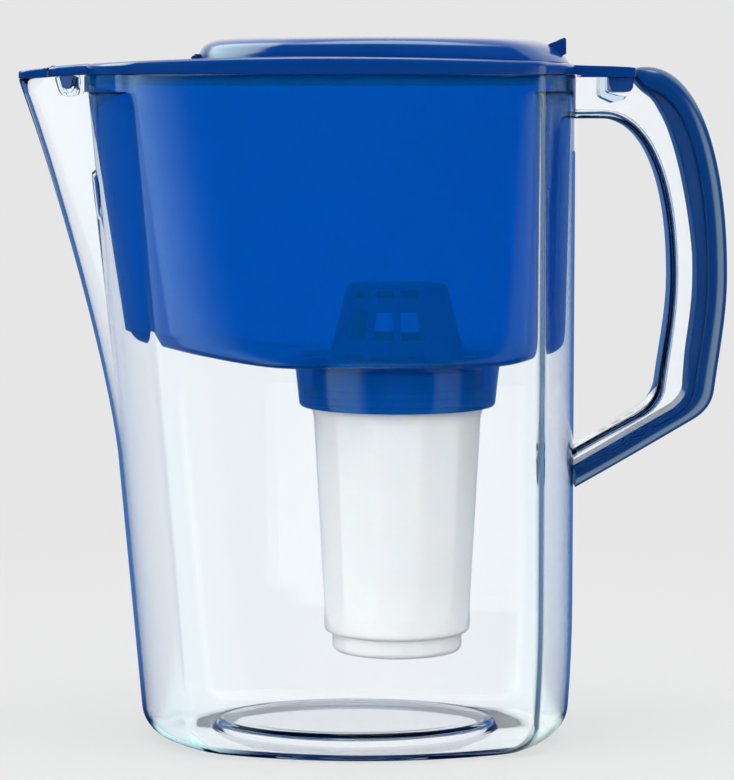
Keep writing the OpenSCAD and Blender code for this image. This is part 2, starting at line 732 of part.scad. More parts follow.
module flip_lid() {
    outer = [for (s = HATCH_RINGS) hatch_ring(s, 0, 0)];
    inner = [for (s = HATCH_RINGS) hatch_ring(s, hatch_t, hatch_t)];
    boss_to = barrel_half + barrel_gap + trunnion_len + BORE_DEPTH;
    color("#0c50a8") difference() {
        union() {
            loft(concat(reversed(inner), outer));
            along_y(hatch_x, hinge_z, barrel_r, 2 * barrel_half);
            // Web between the barrel and the hatch's front wall
            translate([hatch_x, -barrel_half, hinge_z])
                cube([HATCH_FRONT + hatch_t, 2 * barrel_half, barrel_r * 0.8]);
            across(tab_w) tab_profile();
        }
        // Room for the frame's hinge bosses
        knuckle_pair(hatch_x, hinge_z, barrel_r + GROOVE_GAP + fit, barrel_half, boss_to + HOUSING_GAP);
    }
    color("#0c50a8") along_y(hatch_x, hinge_z, trunnion_r, 2 * (barrel_half + barrel_gap + trunnion_len));
}

module spout_flap() {
    edge_x = seam_x + fit;
    tip_h = frame_h_front - 1.2;
    web = flap_barrel_r * 0.64;
    color("#0b4796") union() {
        intersection() {
            prism(jug_outline(rim_z, 0), rim_z, rim_z + frame_h);
            across(rim_w) polygon([[tip_x, rim_z], [tip_x, rim_z + tip_h], [tip_x + 1, rim_z + tip_h + 0.4],
                [edge_x - 0.8, deck_at(seam_x) - 0.1], [edge_x, deck_at(seam_x) - 0.9], [edge_x, rim_z]]);
        }
        along_y(flap_axis_x, flap_axis_z, flap_barrel_r, 2 * flap_barrel_half);
        translate([edge_x - 1, -flap_barrel_half, flap_axis_z - web])
            cube([flap_axis_x - edge_x + 1, 2 * flap_barrel_half, 2 * web]);
        along_y(flap_axis_x, flap_axis_z, flap_trunnion_r,
            2 * (flap_barrel_half + barrel_gap + flap_trunnion_len));
    }
}

// ---- cartridge ----

foot_z = seat_z - housing_h;
neck_z = seat_z + flange_t + neck_h;
// Gap that keeps the sealing and filtering pieces apart from what holds them
SNUG = 0.1;
neck_r = bore_r - 2 * seal_r - SNUG;
neck_in = neck_r - housing_wall;
seal_z = seat_z + flange_t + seal_r + SNUG;
// Depth of the mesh's shelf below the neck's rim, and its width and thickness
SHELF_DOWN = 4.6;
SHELF_W = 2;
SHELF_T = 1.4;
mesh_z = neck_z - SHELF_DOWN;
outlet_z = foot_z + housing_wall;
bed_z = outlet_z + SNUG + pad_t + SNUG;
spigot_h = 4.6;

module spun(pts) {
    translate([cart_x, 0, 0]) rotate_extrude($fn = 96) polygon(pts);
}
function housing_in(z) =
    mix(housing_r_foot, housing_r_top, (z - foot_z) / housing_h) - housing_wall;

// Round the housing's foot: width and height of the bevel
BEVEL_W = 1.2;
BEVEL_H = 1.6;
// Outlet holes as [radius of the ring, count]
HOLE_RINGS = [[6, 6], [12, 12], [17, 18]];
HOLE_R = 1.3;
// Guide ribs under the flange: count, length, width and how far they stand out
RIBS = 6;
RIB_LEN = 6;
RIB_W = 1.2;
RIB_OUT = 0.4;

module cartridge_housing() {
    spigot_r = cap_r - housing_wall - 2 * SNUG;
    spigot_in = spigot_r - housing_wall;
    seat = seat_z + SNUG / 10;
    color("#eceded") difference() {
        union() {
            spun([
                [0, foot_z], [spigot_in, foot_z], [spigot_in, foot_z - spigot_h],
                [spigot_r, foot_z - spigot_h], [spigot_r, foot_z], [housing_r_foot - BEVEL_W, foot_z],
                [housing_r_foot, foot_z + BEVEL_H], [housing_r_top, seat_z - 1],
                [housing_r_top, seat], [flange_r, seat], [flange_r, seat_z + flange_t],
                [neck_r, seat_z + flange_t], [neck_r, neck_z], [neck_in, neck_z], [neck_in, mesh_z],
                [neck_in - SHELF_W, mesh_z], [neck_in - SHELF_W, mesh_z - SHELF_T],
                [housing_in(seat_z - 2), seat_z - 2], [housing_in(outlet_z + BEVEL_H), outlet_z + BEVEL_H],
                [housing_in(outlet_z) - BEVEL_W, outlet_z], [0, outlet_z]
            ]);
            for (i = [0:RIBS - 1])
                translate([cart_x, 0, seat_z - RIB_LEN]) rotate([0, 0, 360 / RIBS * i])
                    translate([housing_r_top - housing_wall, -RIB_W / 2, 0])
                        cube([housing_wall + RIB_OUT, RIB_W, RIB_LEN + SNUG]);
        }
        for (ring = HOLE_RINGS) for (i = [0:ring[1] - 1])
            translate([cart_x, 0, foot_z - 1]) rotate([0, 0, 360 / ring[1] * i])
                translate([ring[0], 0, 0]) cylinder(r = HOLE_R, h = housing_wall + 2, $fn = 16);
    }
}

// Outlet slots of the cap: count, width, and their inner and outer radius
SLOTS = 12;
SLOT_W = 2;
SLOT_FROM = 7;
CAP_BEVEL = 2;

module cartridge_base_cap() {
    low = foot_z - cap_h;
    inner_r = cap_r - housing_wall;
    top = foot_z - SNUG / 2;
    color("#e6e7e9") difference() {
        spun([
            [0, low], [cap_r - CAP_BEVEL, low], [cap_r, low + CAP_BEVEL], [cap_r, top], [inner_r, top],
            [inner_r, low + housing_wall], [0, low + housing_wall]
        ]);
        for (i = [0:SLOTS - 1])
            translate([cart_x, 0, low - 1]) rotate([0, 0, 360 / SLOTS * i])
                translate([SLOT_FROM, -SLOT_W / 2, 0])
                    cube([cap_r - 3 * CAP_BEVEL - SLOT_FROM, SLOT_W, housing_wall + 2]);
    }
}

module cartridge_seal() {
    color("#f4f4f2") translate([cart_x, 0, seal_z])
        rotate_extrude($fn = 96) translate([bore_r - SNUG / 2 - seal_r, 0]) circle(seal_r, $fn = 24);
}

// Direction of each lattice panel of the cage, and the angle between its columns
PANELS = [76, 256];
COLUMN_STEP = 27;
CAGE_WALL = 1.6;

// One window at an angle, cut off above the neck's ring and below the cage's top
module cage_window(angle, sill) {
    low = max(sill, neck_z + CAGE_WALL);
    high = min(sill + window_h, neck_z + cage_h - CAGE_WALL / 2);
    if (high > low)
        translate([cart_x, 0, low]) rotate([0, 0, angle])
            translate([cage_r_top / 2, -window_w / 2, 0])
                cube([cage_r_foot, window_w, high - low]);
}

module cartridge_cage() {
    t = CAGE_WALL;
    top = neck_z + cage_h;
    collar_in = neck_in - fit - t;
    foot = mesh_z + mesh_t + SNUG;
    color("#0b4a9e") difference() {
        spun([
            [neck_in - fit, foot], [neck_in - fit, neck_z], [neck_r, neck_z],
            [neck_r, neck_z + t], [cage_r_foot, neck_z + t], [cage_r_top, top - t],
            [cage_r_top - t, top], [0, top], [0, top - t], [cage_r_top - t, top - 2 * t],
            [cage_r_foot - t, neck_z], [collar_in, neck_z], [collar_in, foot]
        ]);
        for (a = PANELS) for (row = [-1:1]) for (col = [-1:1])
            cage_window(a + col * COLUMN_STEP, neck_z + window_sill + row * window_pitch);
    }
}

module disc(r, z, t) {
    translate([cart_x, 0, z]) cylinder(r = r, h = t, $fn = 96);
}
module inlet_mesh() {
    color("#c9ced6") disc(neck_in - 2 * SNUG, mesh_z + SNUG / 5, mesh_t);
}

module outlet_mesh() {
    r = cap_r - 2 * housing_wall - 6 * SNUG;
    color("#c9ced6") disc(r, foot_z - cap_h + housing_wall + SNUG / 5, mesh_t);
}

module outlet_pad() {
    color("#f1efe8") disc(housing_in(outlet_z) - BEVEL_W - fit, outlet_z + SNUG, pad_t);
}

module filter_bed() {
    color("#4b4b4d") translate([cart_x, 0, bed_z])
        cylinder(r1 = housing_in(bed_z) - fit, r2 = housing_in(bed_z + bed_h) - fit, h = bed_h, $fn = 96);
}

module inlet_pad() {
    z = bed_z + bed_h + SNUG;
    color("#f1efe8") disc(housing_in(z) - fit, z, pad_t);
}

jug_body();
handle_grip();
hopper();
lid_frame();
flip_lid();
spout_flap();
cartridge_cage();
cartridge_housing();
cartridge_seal();
cartridge_base_cap();
inlet_mesh();
inlet_pad();
filter_bed();
outlet_pad();
outlet_mesh();
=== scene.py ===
# %% [markdown]
# # A water filter pitcher with a flip lid
#
# This lesson builds the looks of a kitchen filter pitcher round a finished CAD model: a clear jug
# with a spout and a hollow handle, a blue hopper that drops into it, a filter cartridge that hangs
# in the hopper, and a blue lid with a filling hatch and a spout flap.
#
# The CAD model comes in first, because every piece here takes the place of one of its nodes and
# rides on one of its moving bodies.

from math import atan2, copysign, cos, degrees, hypot, pi, radians, sin, tan

import bpy
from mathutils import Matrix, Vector


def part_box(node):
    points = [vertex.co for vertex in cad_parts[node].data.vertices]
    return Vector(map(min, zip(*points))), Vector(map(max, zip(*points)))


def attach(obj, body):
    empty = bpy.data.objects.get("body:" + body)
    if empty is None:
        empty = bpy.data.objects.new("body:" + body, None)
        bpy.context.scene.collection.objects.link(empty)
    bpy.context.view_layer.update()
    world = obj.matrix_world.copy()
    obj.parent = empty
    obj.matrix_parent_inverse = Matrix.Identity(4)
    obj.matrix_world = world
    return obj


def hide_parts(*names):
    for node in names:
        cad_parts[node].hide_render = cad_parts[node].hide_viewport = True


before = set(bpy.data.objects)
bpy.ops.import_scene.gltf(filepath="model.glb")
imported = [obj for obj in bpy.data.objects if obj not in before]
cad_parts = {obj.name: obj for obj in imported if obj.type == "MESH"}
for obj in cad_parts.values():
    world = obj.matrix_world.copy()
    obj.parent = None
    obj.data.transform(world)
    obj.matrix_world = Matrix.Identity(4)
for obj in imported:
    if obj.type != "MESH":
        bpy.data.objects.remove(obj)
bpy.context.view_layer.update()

# %% [markdown]
# ## Tools for shaping
#
# Most walls of a moulded pitcher are lofts: the same outline, a little larger or smaller at every
# height. By hand that is a circle that is extruded loop by loop, with each loop then moved onto its
# outline. The tool below does exactly that. A closed skin has its last loop bridged to its first,
# as the wall of a cup does, and an end that shrinks to a point is merged into one vertex.

# %% Numbers and selections
MM = 0.001


def mix(a, b, t):
    return a + (b - a) * t


def clamp(t):
    return max(0.0, min(1.0, t))


def ease(t):
    t = clamp(t)
    return t * t * (3 - 2 * t)


def deselect():
    if bpy.context.object and bpy.context.object.mode != "OBJECT":
        bpy.ops.object.mode_set(mode="OBJECT")
    bpy.ops.object.select_all(action="DESELECT")


def only(piece):
    deselect()
    piece.select_set(True)
    bpy.context.view_layer.objects.active = piece


def pick_faces(piece, wanted):
    """Leaves the piece in edit mode with those faces selected whose middle, in mm, is wanted."""
    only(piece)
    bpy.context.tool_settings.mesh_select_mode = (False, False, True)
    bpy.ops.object.mode_set(mode="EDIT")
    bpy.ops.mesh.select_all(action="DESELECT")
    bpy.ops.object.mode_set(mode="OBJECT")
    for face in piece.data.polygons:
        face.select = wanted(face.center / MM)
    print(piece.name, "faces picked:", sum(face.select for face in piece.data.polygons))
    bpy.ops.object.mode_set(mode="EDIT")


# %% Closing and smoothing a mesh
def tidy_mesh(piece, angle=32):
    only(piece)
    bpy.ops.object.mode_set(mode="EDIT")
    bpy.ops.mesh.select_all(action="SELECT")
    bpy.ops.mesh.remove_doubles(threshold=2e-6)
    bpy.ops.mesh.normals_make_consistent(inside=False)
    bpy.ops.object.mode_set(mode="OBJECT")
    bpy.ops.object.shade_smooth_by_angle(angle=radians(angle))
    return piece


def finish_with(piece, kind, **settings):
    only(piece)
    modifier = piece.modifiers.new(kind.title(), kind)
    for key, value in settings.items():
        setattr(modifier, key, value)
    bpy.ops.object.modifier_apply(modifier=modifier.name)
    return piece


def round_edges(piece, width, limit=0.6):
    edges = {"limit_method": "ANGLE", "angle_limit": limit}
    return finish_with(piece, "BEVEL", width=width * MM, segments=2, **edges)


# %% A skin through rings
def skin(name, rings, closed=False, angle=32):
    count = len(rings[0])
    deselect()
    bpy.ops.mesh.primitive_circle_add(vertices=count, radius=1)
    piece = bpy.context.object
    piece.name = piece.data.name = name
    bpy.ops.object.mode_set(mode="EDIT")
    bpy.ops.mesh.select_mode(type="EDGE")
    bpy.ops.mesh.select_all(action="SELECT")
    for _ in rings[1:]:
        bpy.ops.mesh.extrude_region_move(TRANSFORM_OT_translate={"value": (0, 0, 1)})
    bpy.ops.mesh.select_all(action="DESELECT")
    bpy.ops.mesh.select_non_manifold()
    if closed:
        bpy.ops.mesh.bridge_edge_loops()
    else:
        bpy.ops.mesh.fill_holes(sides=0)
    bpy.ops.object.mode_set(mode="OBJECT")
    step = 2 * pi / count
    for vertex in piece.data.vertices:
        turn = (atan2(vertex.co.y, vertex.co.x) - pi / 2) / step
        vertex.co = Vector(rings[round(vertex.co.z)][round(turn) % count]) * MM
    return tidy_mesh(piece, angle)


# %% A plate cut from an outline
def shifted(points, x, z):
    return [(x + dx, z + dz) for dx, dz in points]


def plate(name, points, y0, y1, place=None, bevel=0.0, angle=32):
    """An outline in XZ, extruded from y0 to y1 and moved by place, a function from point to point."""
    deselect()
    bpy.ops.mesh.primitive_circle_add(vertices=len(points), radius=1, fill_type="NGON")
    piece = bpy.context.object
    piece.name = piece.data.name = name
    for vertex, (x, z) in zip(piece.data.vertices, points):
        vertex.co = Vector((x, y0, z)) * MM
    bpy.ops.object.mode_set(mode="EDIT")
    bpy.ops.mesh.select_all(action="SELECT")
    bpy.ops.mesh.extrude_region_move(TRANSFORM_OT_translate={"value": (0, (y1 - y0) * MM, 0)})
    bpy.ops.object.mode_set(mode="OBJECT")
    tidy_mesh(piece, angle)
    if bevel:
        round_edges(piece, bevel)
    if place:
        for vertex in piece.data.vertices:
            vertex.co = Vector(place(*(vertex.co / MM))) * MM
    return tidy_mesh(piece, angle)


# %% Joining
def fuse(piece, *others, how="UNION", angle=32):
    """One closed body from several, as one shot of plastic."""
    for other in others:
        finish_with(piece, "BOOLEAN", operation=how, solver="EXACT", object=other)
        bpy.data.objects.remove(other)
    return tidy_mesh(piece, angle)


def gather(piece, *others):
    """One object from several bodies that only touch."""
    only(piece)
    for other in others:
        other.select_set(True)
    bpy.ops.object.join()
    return piece


def cut(piece, *tools):
    return fuse(piece, *tools, how="DIFFERENCE")


def tell(piece):
    print(piece.name, "has", len(piece.data.polygons), "faces")


# %% [markdown]
# ## The outline in plan
#
# Seen from above the jug has bowed end walls, bulging sides and four upright edges that are only
# just rounded. The spout is a narrow tongue that grows out of the front wall towards the rim. One
# function gives this outline at any size, so jug, hopper, lid and hatch all belong together.

# %% The plan outline
RIM_Z = 242.0
TIP_X, NOSE_X, REAR_X, BACK_X = -128.5, -105.2, 73.3, 128.5
MID_X, SEAM_X, CART_X = -15.95, -117.4, 8.9
SPOUT_HALF, SPOUT_REACH, SPOUT_FOOT = 17.0, 23.3, 105
FRONT_LEAN, REAR_TUCK = 21, 2.4


def bend(a, b, c, t):
    return tuple((1 - t) ** 2 * p + 2 * t * (1 - t) * q + t * t * r for p, q, r in zip(a, b, c))


def outline(xf, xr, half, bow_f, bow_r, bulge, corner, spout=0.0, spout_half=SPOUT_HALF):
    """Points round a shape from xf to xr. Its end walls bow by bow_f and bow_r, its sides by bulge."""
    yc = half - bulge
    xa, xb = xf + bow_f, xr - bow_r
    xm, hl, ya = (xa + xb) / 2, (xb - xa) / 2, yc - corner

    def front(y):
        reach = spout * (1 - (y / spout_half) ** 1.8) if y < spout_half else 0
        return (xf + bow_f * (y / yc) ** 2 - reach, y)

    def rear(y):
        return (xr - bow_r * (y / yc) ** 2, y)

    def side(x):
        return (x, yc + bulge * (1 - ((x - xm) / hl) ** 2))

    half_way = [front(spout_half * k / 12) for k in range(13)]
    half_way += [front(mix(spout_half, ya, k / 8)) for k in range(1, 9)]
    walls = [side(mix(xa + corner, xb - corner, k / 24)) for k in range(25)]
    half_way += [bend(front(ya), (xa, yc), walls[0], k / 7) for k in range(1, 7)] + walls
    half_way += [bend(walls[-1], (xb, yc), rear(ya), k / 7) for k in range(1, 7)]
    half_way += [rear(ya * k / 14) for k in range(14, -1, -1)]
    return half_way + [(x, -y) for x, y in half_way[-2:0:-1]]


# %% The jug's outline at a height
def spout_at(z):
    return SPOUT_REACH * clamp((z - SPOUT_FOOT) / (RIM_Z - SPOUT_FOOT)) ** 1.4


def jug_outline(z, inset=0.0, spout=True, lean=0.0, side_in=0.0, corner=2.4):
    return outline(
        xf=NOSE_X + FRONT_LEAN * (1 - z / RIM_Z) + inset + lean,
        xr=REAR_X - REAR_TUCK * (1 - clamp(z / 50)) ** 2 - inset,
        half=mix(54.5, 56, clamp(z / RIM_Z)) - inset - side_in,
        bow_f=19.5,
        bow_r=13.5,
        bulge=12,
        corner=corner,
        spout=spout_at(z) if spout else 0,
        spout_half=SPOUT_HALF - (inset if spout else 0),
    )


def flat(points, z):
    return [(x, y, z) for x, y in points]


POINTS = len(jug_outline(0))
print("points round an outline:", POINTS)

# %% [markdown]
# ## The clear jug
#
# The jug is one shot of clear plastic. What the eye reads is its thickness: two close lines along
# every wall, a dark heavy base, and the pushed-up oval underneath. So the wall is modelled with its
# real inner face, from the middle of the base out, up the walls, over the rim and down inside.

# %% Rings of the jug
WALL, BASE = 2.2, 2.4
RECESS_X = (NOSE_X + FRONT_LEAN + REAR_X - REAR_TUCK) / 2
RECESS_HALF_X, RECESS_HALF_Y, RECESS_UP = 50, 33, 4
SEAT_Z = 235.8


def rim_drop(x, z):
    """The rim sinks a little towards the tip of the spout."""
    return 1.4 * clamp((-104 - x) / 23) * ease((z - 212) / 30)


def jug_ring(z, inset, **more):
    return [(x, y, z - rim_drop(x, z)) for x, y in jug_outline(z, inset, **more)]


def end_share(x, y):
    """1 on the two end walls, where the hopper's flange sits, and 0 along the sides and in the spout."""
    return ease((x - 54) / 4) + ease((-84 - x) / 4) * ease((abs(y) - 18) / 3)


def seat_step(z, at_end, at_side):
    pairs = zip(jug_ring(z, at_end), jug_ring(z, at_side))
    return [tuple(mix(q, p, end_share(b[0], b[1])) for p, q in zip(a, b)) for a, b in pairs]


def foot_ring(angle, r, r_side, z0, inset, corner=2.4):
    """A ring of the rounded foot, from the flat at 0 degrees up to the wall at 90."""
    out = 1 - sin(radians(angle))
    z = z0 + r * (1 - cos(radians(angle)))
    return flat(jug_outline(z, inset + r * out, side_in=(r_side - r) * out, corner=corner), z)


def oval_ring(scale, z, grow=0.0):
    ring = []
    for x, y in jug_outline(0, 11, side_in=-6):
        turn = atan2(y / RECESS_HALF_Y, (x - RECESS_X) / RECESS_HALF_X)
        reach_x, reach_y = RECESS_HALF_X * scale + grow, RECESS_HALF_Y * scale + grow
        ring.append((RECESS_X + reach_x * cos(turn), reach_y * sin(turn), z))
    return ring


# %% The jug's shell
# The edge of the oval, below and above: height and how far it reaches past the oval. The edge of
# the hopper's seat: height above the seat, and inset.
OVAL_BELOW = [(3.9, -1.2), (3.5, -0.6), (2.8, -0.2), (1.2, 0), (0.4, 0.3), (0, 1)]
OVAL_ABOVE = [(6.2, 0.4), (5.6, 1.2), (4.4, 2), (3, 2.5), (2.5, 3.2), (BASE, 4.2)]
SEAT_EDGE = [(-1.2, WALL), (-0.3, 2.0), (0, 1.6), (0.4, 1.1)]
outside = [oval_ring(scale, RECESS_UP) for scale in (0, 0.3, 0.6, 0.85, 0.95)]
outside += [oval_ring(1, z, grow) for z, grow in OVAL_BELOW]
outside += [foot_ring(angle, r=11, r_side=5, z0=0, inset=0) for angle in range(0, 91, 10)]
levels = [20, 30, 40, 50, 62, 75, 90] + [mix(SPOUT_FOOT, 236, k / 20) for k in range(21)]
outside += [jug_ring(z, 0) for z in levels + [239, 241.3]]
outside += [jug_ring(241.8, 0.15), jug_ring(RIM_Z, 0.45), seat_step(RIM_Z, 0.8, 1.9)]
inside = [foot_ring(angle, 8.8, 2.8, BASE, WALL, corner=1.6) for angle in range(0, 91, 10)]
inside += [jug_ring(z, WALL, corner=1.6) for z in levels if z < 233]
inside += [seat_step(SEAT_Z + up, inset, WALL) for up, inset in SEAT_EDGE]
inside += [seat_step(241.7, 1.1, WALL)]
floor_rings = [oval_ring(scale, RECESS_UP + BASE) for scale in (0, 0.3, 0.6, 0.85, 0.97)]
floor_rings += [oval_ring(1, z, grow) for z, grow in OVAL_ABOVE]
jug = skin("clear_jug", outside + inside[::-1] + floor_rings[::-1], angle=40)
tell(jug)

# %% [markdown]
# ## The hollow handle
#
# The handle is a channel, open along its back, that grows out of the rear wall below the rim and
# runs back into it lower down. A separate blue grip closes it. The channel is a U section swept
# along two edges, the finger side and the open rim, so its depth can change along the way. It is
# then fused to the shell, because a seam inside clear plastic would show as a bright sheet.

# %% Edges of the handle
TOP_Z, APEX_Z, BEND_Z = 244.5, 168.0, 121.0
GRIP_X = 94.8
ROOT_X = REAR_X - 1.1
HANDLE_HALF = 11.0
ARM_TILT, KNEE = radians(30), 5


def curve(a, b, c, d, t):
    u = 1 - t
    return tuple(u**3 * p + 3 * t * u**2 * q + 3 * t * t * u * r + t**3 * s for p, q, r, s in zip(a, b, c, d))


def handle_edge(x0, top_in, back_in, arm_in, rise, end_x=ROOT_X):
    """An edge of the handle in XZ: over the top to its back, round the knee and down the arm."""
    a, b = (x0, TOP_Z - top_in), (BACK_X - back_in, APEX_Z)
    kx = BACK_X - KNEE - back_in

    def arm(x):
        return (x, BEND_Z + tan(ARM_TILT) * (x - BACK_X + KNEE) + arm_in / cos(ARM_TILT))

    k = arm(kx)
    length = hypot(b[0] - k[0], b[1] - k[1])
    k_up = (k[0] + 7 * (b[0] - k[0]) / length, k[1] + 7 * (b[1] - k[1]) / length)
    tail = (b[1] - k_up[1]) / 3
    a1 = (a[0] + 0.65 * (b[0] - a[0]), a[1] + rise)
    b1 = (b[0], b[1] + 0.6 * (a[1] - b[1]))
    edge = [curve(a, a1, b1, b, i / 28) for i in range(29)]
    b2, k2 = (b[0], b[1] - tail), (k_up[0] + tail / 8, k_up[1] + tail)
    edge += [curve(b, b2, k2, k_up, i / 10) for i in range(1, 11)]
    edge += [bend(k_up, k, arm(kx - 7), i / 8) for i in range(1, 9)]
    return edge + [arm(mix(kx - 7, end_x, i / 5)) for i in range(1, 6)]


def finger_edge(t=0.0, end_x=ROOT_X):
    return handle_edge(REAR_X + 9, 18.2 - t, 21 - t, 12.9 - t, 0, end_x)


def rim_edge(end_x=ROOT_X):
    """The open rim of the channel. It climbs over its first points to meet the tail of the lid."""
    edge = handle_edge(GRIP_X, 7.8, 7.8, 5.2, 3, end_x)
    return [(x, z + 4.3 * clamp(1 - i / 3) ** 2) for i, (x, z) in enumerate(edge)]


# %% The channel
def corner_points(base, up, half, r, steps=5):
    """From the side face, round the corner, to the floor of the channel."""
    arc = []
    for i in range(steps + 1):
        a = pi / 2 * i / steps
        d = r * (1 - sin(a))
        arc.append((base[0] + up[0] * d, half - r * (1 - cos(a)), base[1] + up[1] * d))
    return arc


def channel_ring(low, inner, top):
    length = hypot(top[0] - low[0], top[1] - low[1])
    up = ((top[0] - low[0]) / length, (top[1] - low[1]) / length)
    wall_half = HANDLE_HALF - WALL
    outer = [(top[0], HANDLE_HALF, top[1])] + corner_points(low, up, HANDLE_HALF, 3.2)
    hollow = [(top[0], wall_half, top[1])] + corner_points(inner, up, wall_half, 1.4)
    mirror = [(x, -y, z) for x, y, z in outer[::-1]]
    return outer + mirror + [(x, -y, z) for x, y, z in hollow] + hollow[::-1]


low, inner, top = finger_edge(), finger_edge(WALL), rim_edge()
stations = []
for i in range(5):
    t = i / 4
    x_low, x_top = mix(ROOT_X, low[0][0], t), mix(ROOT_X, GRIP_X, t)
    stations.append(((x_low, low[0][1]), (x_low, inner[0][1]), (x_top, RIM_Z - 1.0)))
stations += list(zip(low, inner, top))
channel = skin("handle_channel", [channel_ring(*s) for s in stations])
print("handle channel:", len(stations), "stations")

# %% The catch in the channel
LATCH_X, LATCH_Z = 84.6, 235.9
HOOK = [(-2.6, 5.8), (0, 5.8), (0, 0.8), (0.8, 0), (4.9, -1), (7.05, -1.3), (6.0, -2.6)]
HOOK += [(2.5, -3.3), (-2.0, -1.5), (-2.6, -0.5)]
catch = plate("catch", shifted(HOOK, LATCH_X - 0.5, LATCH_Z - 0.3), -9.9, 9.9)

# %% [markdown]
# ## Brackets for the lid's lugs
#
# Inside the spout, on each of its two walls, a thin U-shaped rib takes a lug of the lid and keeps
# the frame from sliding. Each is a small plate that follows the slanting wall of the spout.

# %% Two brackets
LUG_X, LUG_Y, LUG_TURN = -110.8, 14.59, radians(24.68)


def at_lug(side):
    def place(x, y, z):
        c, s = cos(LUG_TURN), sin(LUG_TURN)
        return (LUG_X + c * x - s * y, side * (LUG_Y + s * x + c * y), z)

    return place


U_SHAPE = [(-4.7, 0), (-4.4, -1.2), (-3.4, -4.6), (-2.2, -6.0), (0, -6.6)]
U_SHAPE += [(2.2, -6.2), (4.2, -5.8), (4.7, -4.6), (4.7, 0)]
U_SHAPE += [(3.6, 0), (3.4, -1.2), (2.5, -4.2), (1.5, -5.1), (0, -5.4)]
U_SHAPE += [(-1.6, -5.0), (-2.4, -4.0), (-3.4, -1.2), (-3.7, 0)]
u_points = shifted(U_SHAPE, 0, RIM_Z - 1.2)
brackets = [plate("bracket", u_points, -4.7, -1.1, at_lug(side)) for side in (1, -1)]
jug = fuse(jug, channel, catch, *brackets, angle=40)
tell(jug)

# %% [markdown]
# ## The blue grip
#
# The grip is a moulded cover with flat side faces, a rounded back and a narrower tongue that snaps
# into the channel. Through the clear wall the tongue shows as a dark line beside the seam, so it is
# modelled too, in the same swept section.

# %% The grip
GRIP_ROUND, TONGUE_HALF = 6.0, 8.5


def tongue_edge(end_x=ROOT_X):
    """The seam moved into the channel. The tongue is thin at the top and deepest round the bend."""
    seam = rim_edge(end_x)
    edge = []
    for i, (x, z) in enumerate(seam):
        (xa, za), (xb, zb) = seam[max(i - 1, 0)], seam[min(i + 1, len(seam) - 1)]
        length = hypot(xb - xa, zb - za)
        depth = mix(0.9, 3.6, ease(i / 8))
        depth += 1.6 * sin(pi * clamp((i - 6) / 20))
        depth -= 1.2 * ease((i - 34) / 6)
        edge.append((x + depth * (zb - za) / length, z - depth * (xb - xa) / length))
    return edge


def back_edge(end_x=ROOT_X):
    return handle_edge(GRIP_X, 0, 0, 0, 4.5, end_x)


def grip_ring(back, seam, tongue_tip):
    length = hypot(back[0] - seam[0], back[1] - seam[1])
    out = ((back[0] - seam[0]) / length, (back[1] - seam[1]) / length)
    r = min(GRIP_ROUND, length * 0.75)

    def at(depth, y):
        return (seam[0] + out[0] * depth, y, seam[1] + out[1] * depth)

    side = [at(0.0, HANDLE_HALF - 0.42), at(0.6, HANDLE_HALF), at(length - r, HANDLE_HALF)]
    for i in range(1, 7):
        a = pi / 2 * i / 6
        side.append(at(length - r * (1 - sin(a)), HANDLE_HALF - r * (1 - cos(a))))
    side.append(at(length, 0))
    tip_x, tip_z = tongue_tip
    tongue = [at(0, TONGUE_HALF), (tip_x + out[0] * 0.6, TONGUE_HALF, tip_z + out[1] * 0.6)]
    tongue.append((tip_x, TONGUE_HALF - 0.6, tip_z))
    whole = side + [(x, -y, z) for x, y, z in side[-2::-1]]
    return whole + [(x, -y, z) for x, y, z in tongue] + tongue[::-1]


end_x = REAR_X + 0.4
stations = zip(back_edge(end_x), rim_edge(end_x), tongue_edge(end_x))
grip = skin("grip_cover", [grip_ring(*s) for s in stations], angle=25)
tell(grip)

# %% [markdown]
# ## The hopper
#
# The hopper is a translucent blue tub with tapered walls. Its floor slopes down to a round collar,
# and the cartridge seats on a ledge at the bottom of that. Its rings run out from the ledge's hole,
# down and round the collar, along the underside of the floor, up the walls and back down inside.

# %% Hopper outlines
FLOOR_Z, COLLAR_Z, CART_SEAT_Z = 139.0, 122.0, 124.2
HOPPER_WALL = 1.8


def floor_at(x):
    """The floor rises 7 mm towards the spout and 3 mm towards the handle."""
    return FLOOR_Z + 7 * ease((-27.1 - x) / 63.1) + 3 * ease((x - 40.9) / 26.4)


def hopper_outline(z, inset, corner=3.4):
    t = clamp((z - FLOOR_Z) / (SEAT_Z - FLOOR_Z))
    return jug_outline(z, WALL + mix(3, 0.6, t) + inset, False, 4 * (1 - t), corner=corner)


def hopper_foot(angle, r, inset, up):
    """A ring of the rounding between floor and wall, of radius r."""
    out = r * (1 - sin(radians(angle)))
    rise = r * (1 - cos(radians(angle)))
    return [(x, y, floor_at(x) + up + rise) for x, y in hopper_outline(FLOOR_Z, inset + out)]


def round_axis(radius, turn, z):
    """A point on a circle round the cartridge's axis."""
    return (CART_X + radius * cos(turn), radius * sin(turn), z)


def seat_ring(radius, z):
    """A circle with its points on the bearings of the hopper's outline."""
    return [round_axis(radius, atan2(y, x - CART_X), z) for x, y in hopper_outline(FLOOR_Z, 5)]


def between(a, b, t, z_of=None):
    ring = [tuple(mix(p, q, t) for p, q in zip(u, v)) for u, v in zip(a, b)]
    return [(x, y, z_of(x)) for x, y, z in ring] if z_of else ring


def end_mix(at_end, at_side):
    """An outline that follows one on the end walls and another along the sides."""
    shares = [end_share(x, 40) for x, y in at_side]
    return [tuple(mix(q, p, t) for p, q in zip(a, b)) for a, b, t in zip(at_end, at_side, shares)]


def flange_ring(z, at_end, at_side):
    """The flange stands out on the end walls only. Along the sides the wall runs straight up."""
    return flat(end_mix(jug_outline(RIM_Z, at_end, False), hopper_outline(z, at_side)), z)


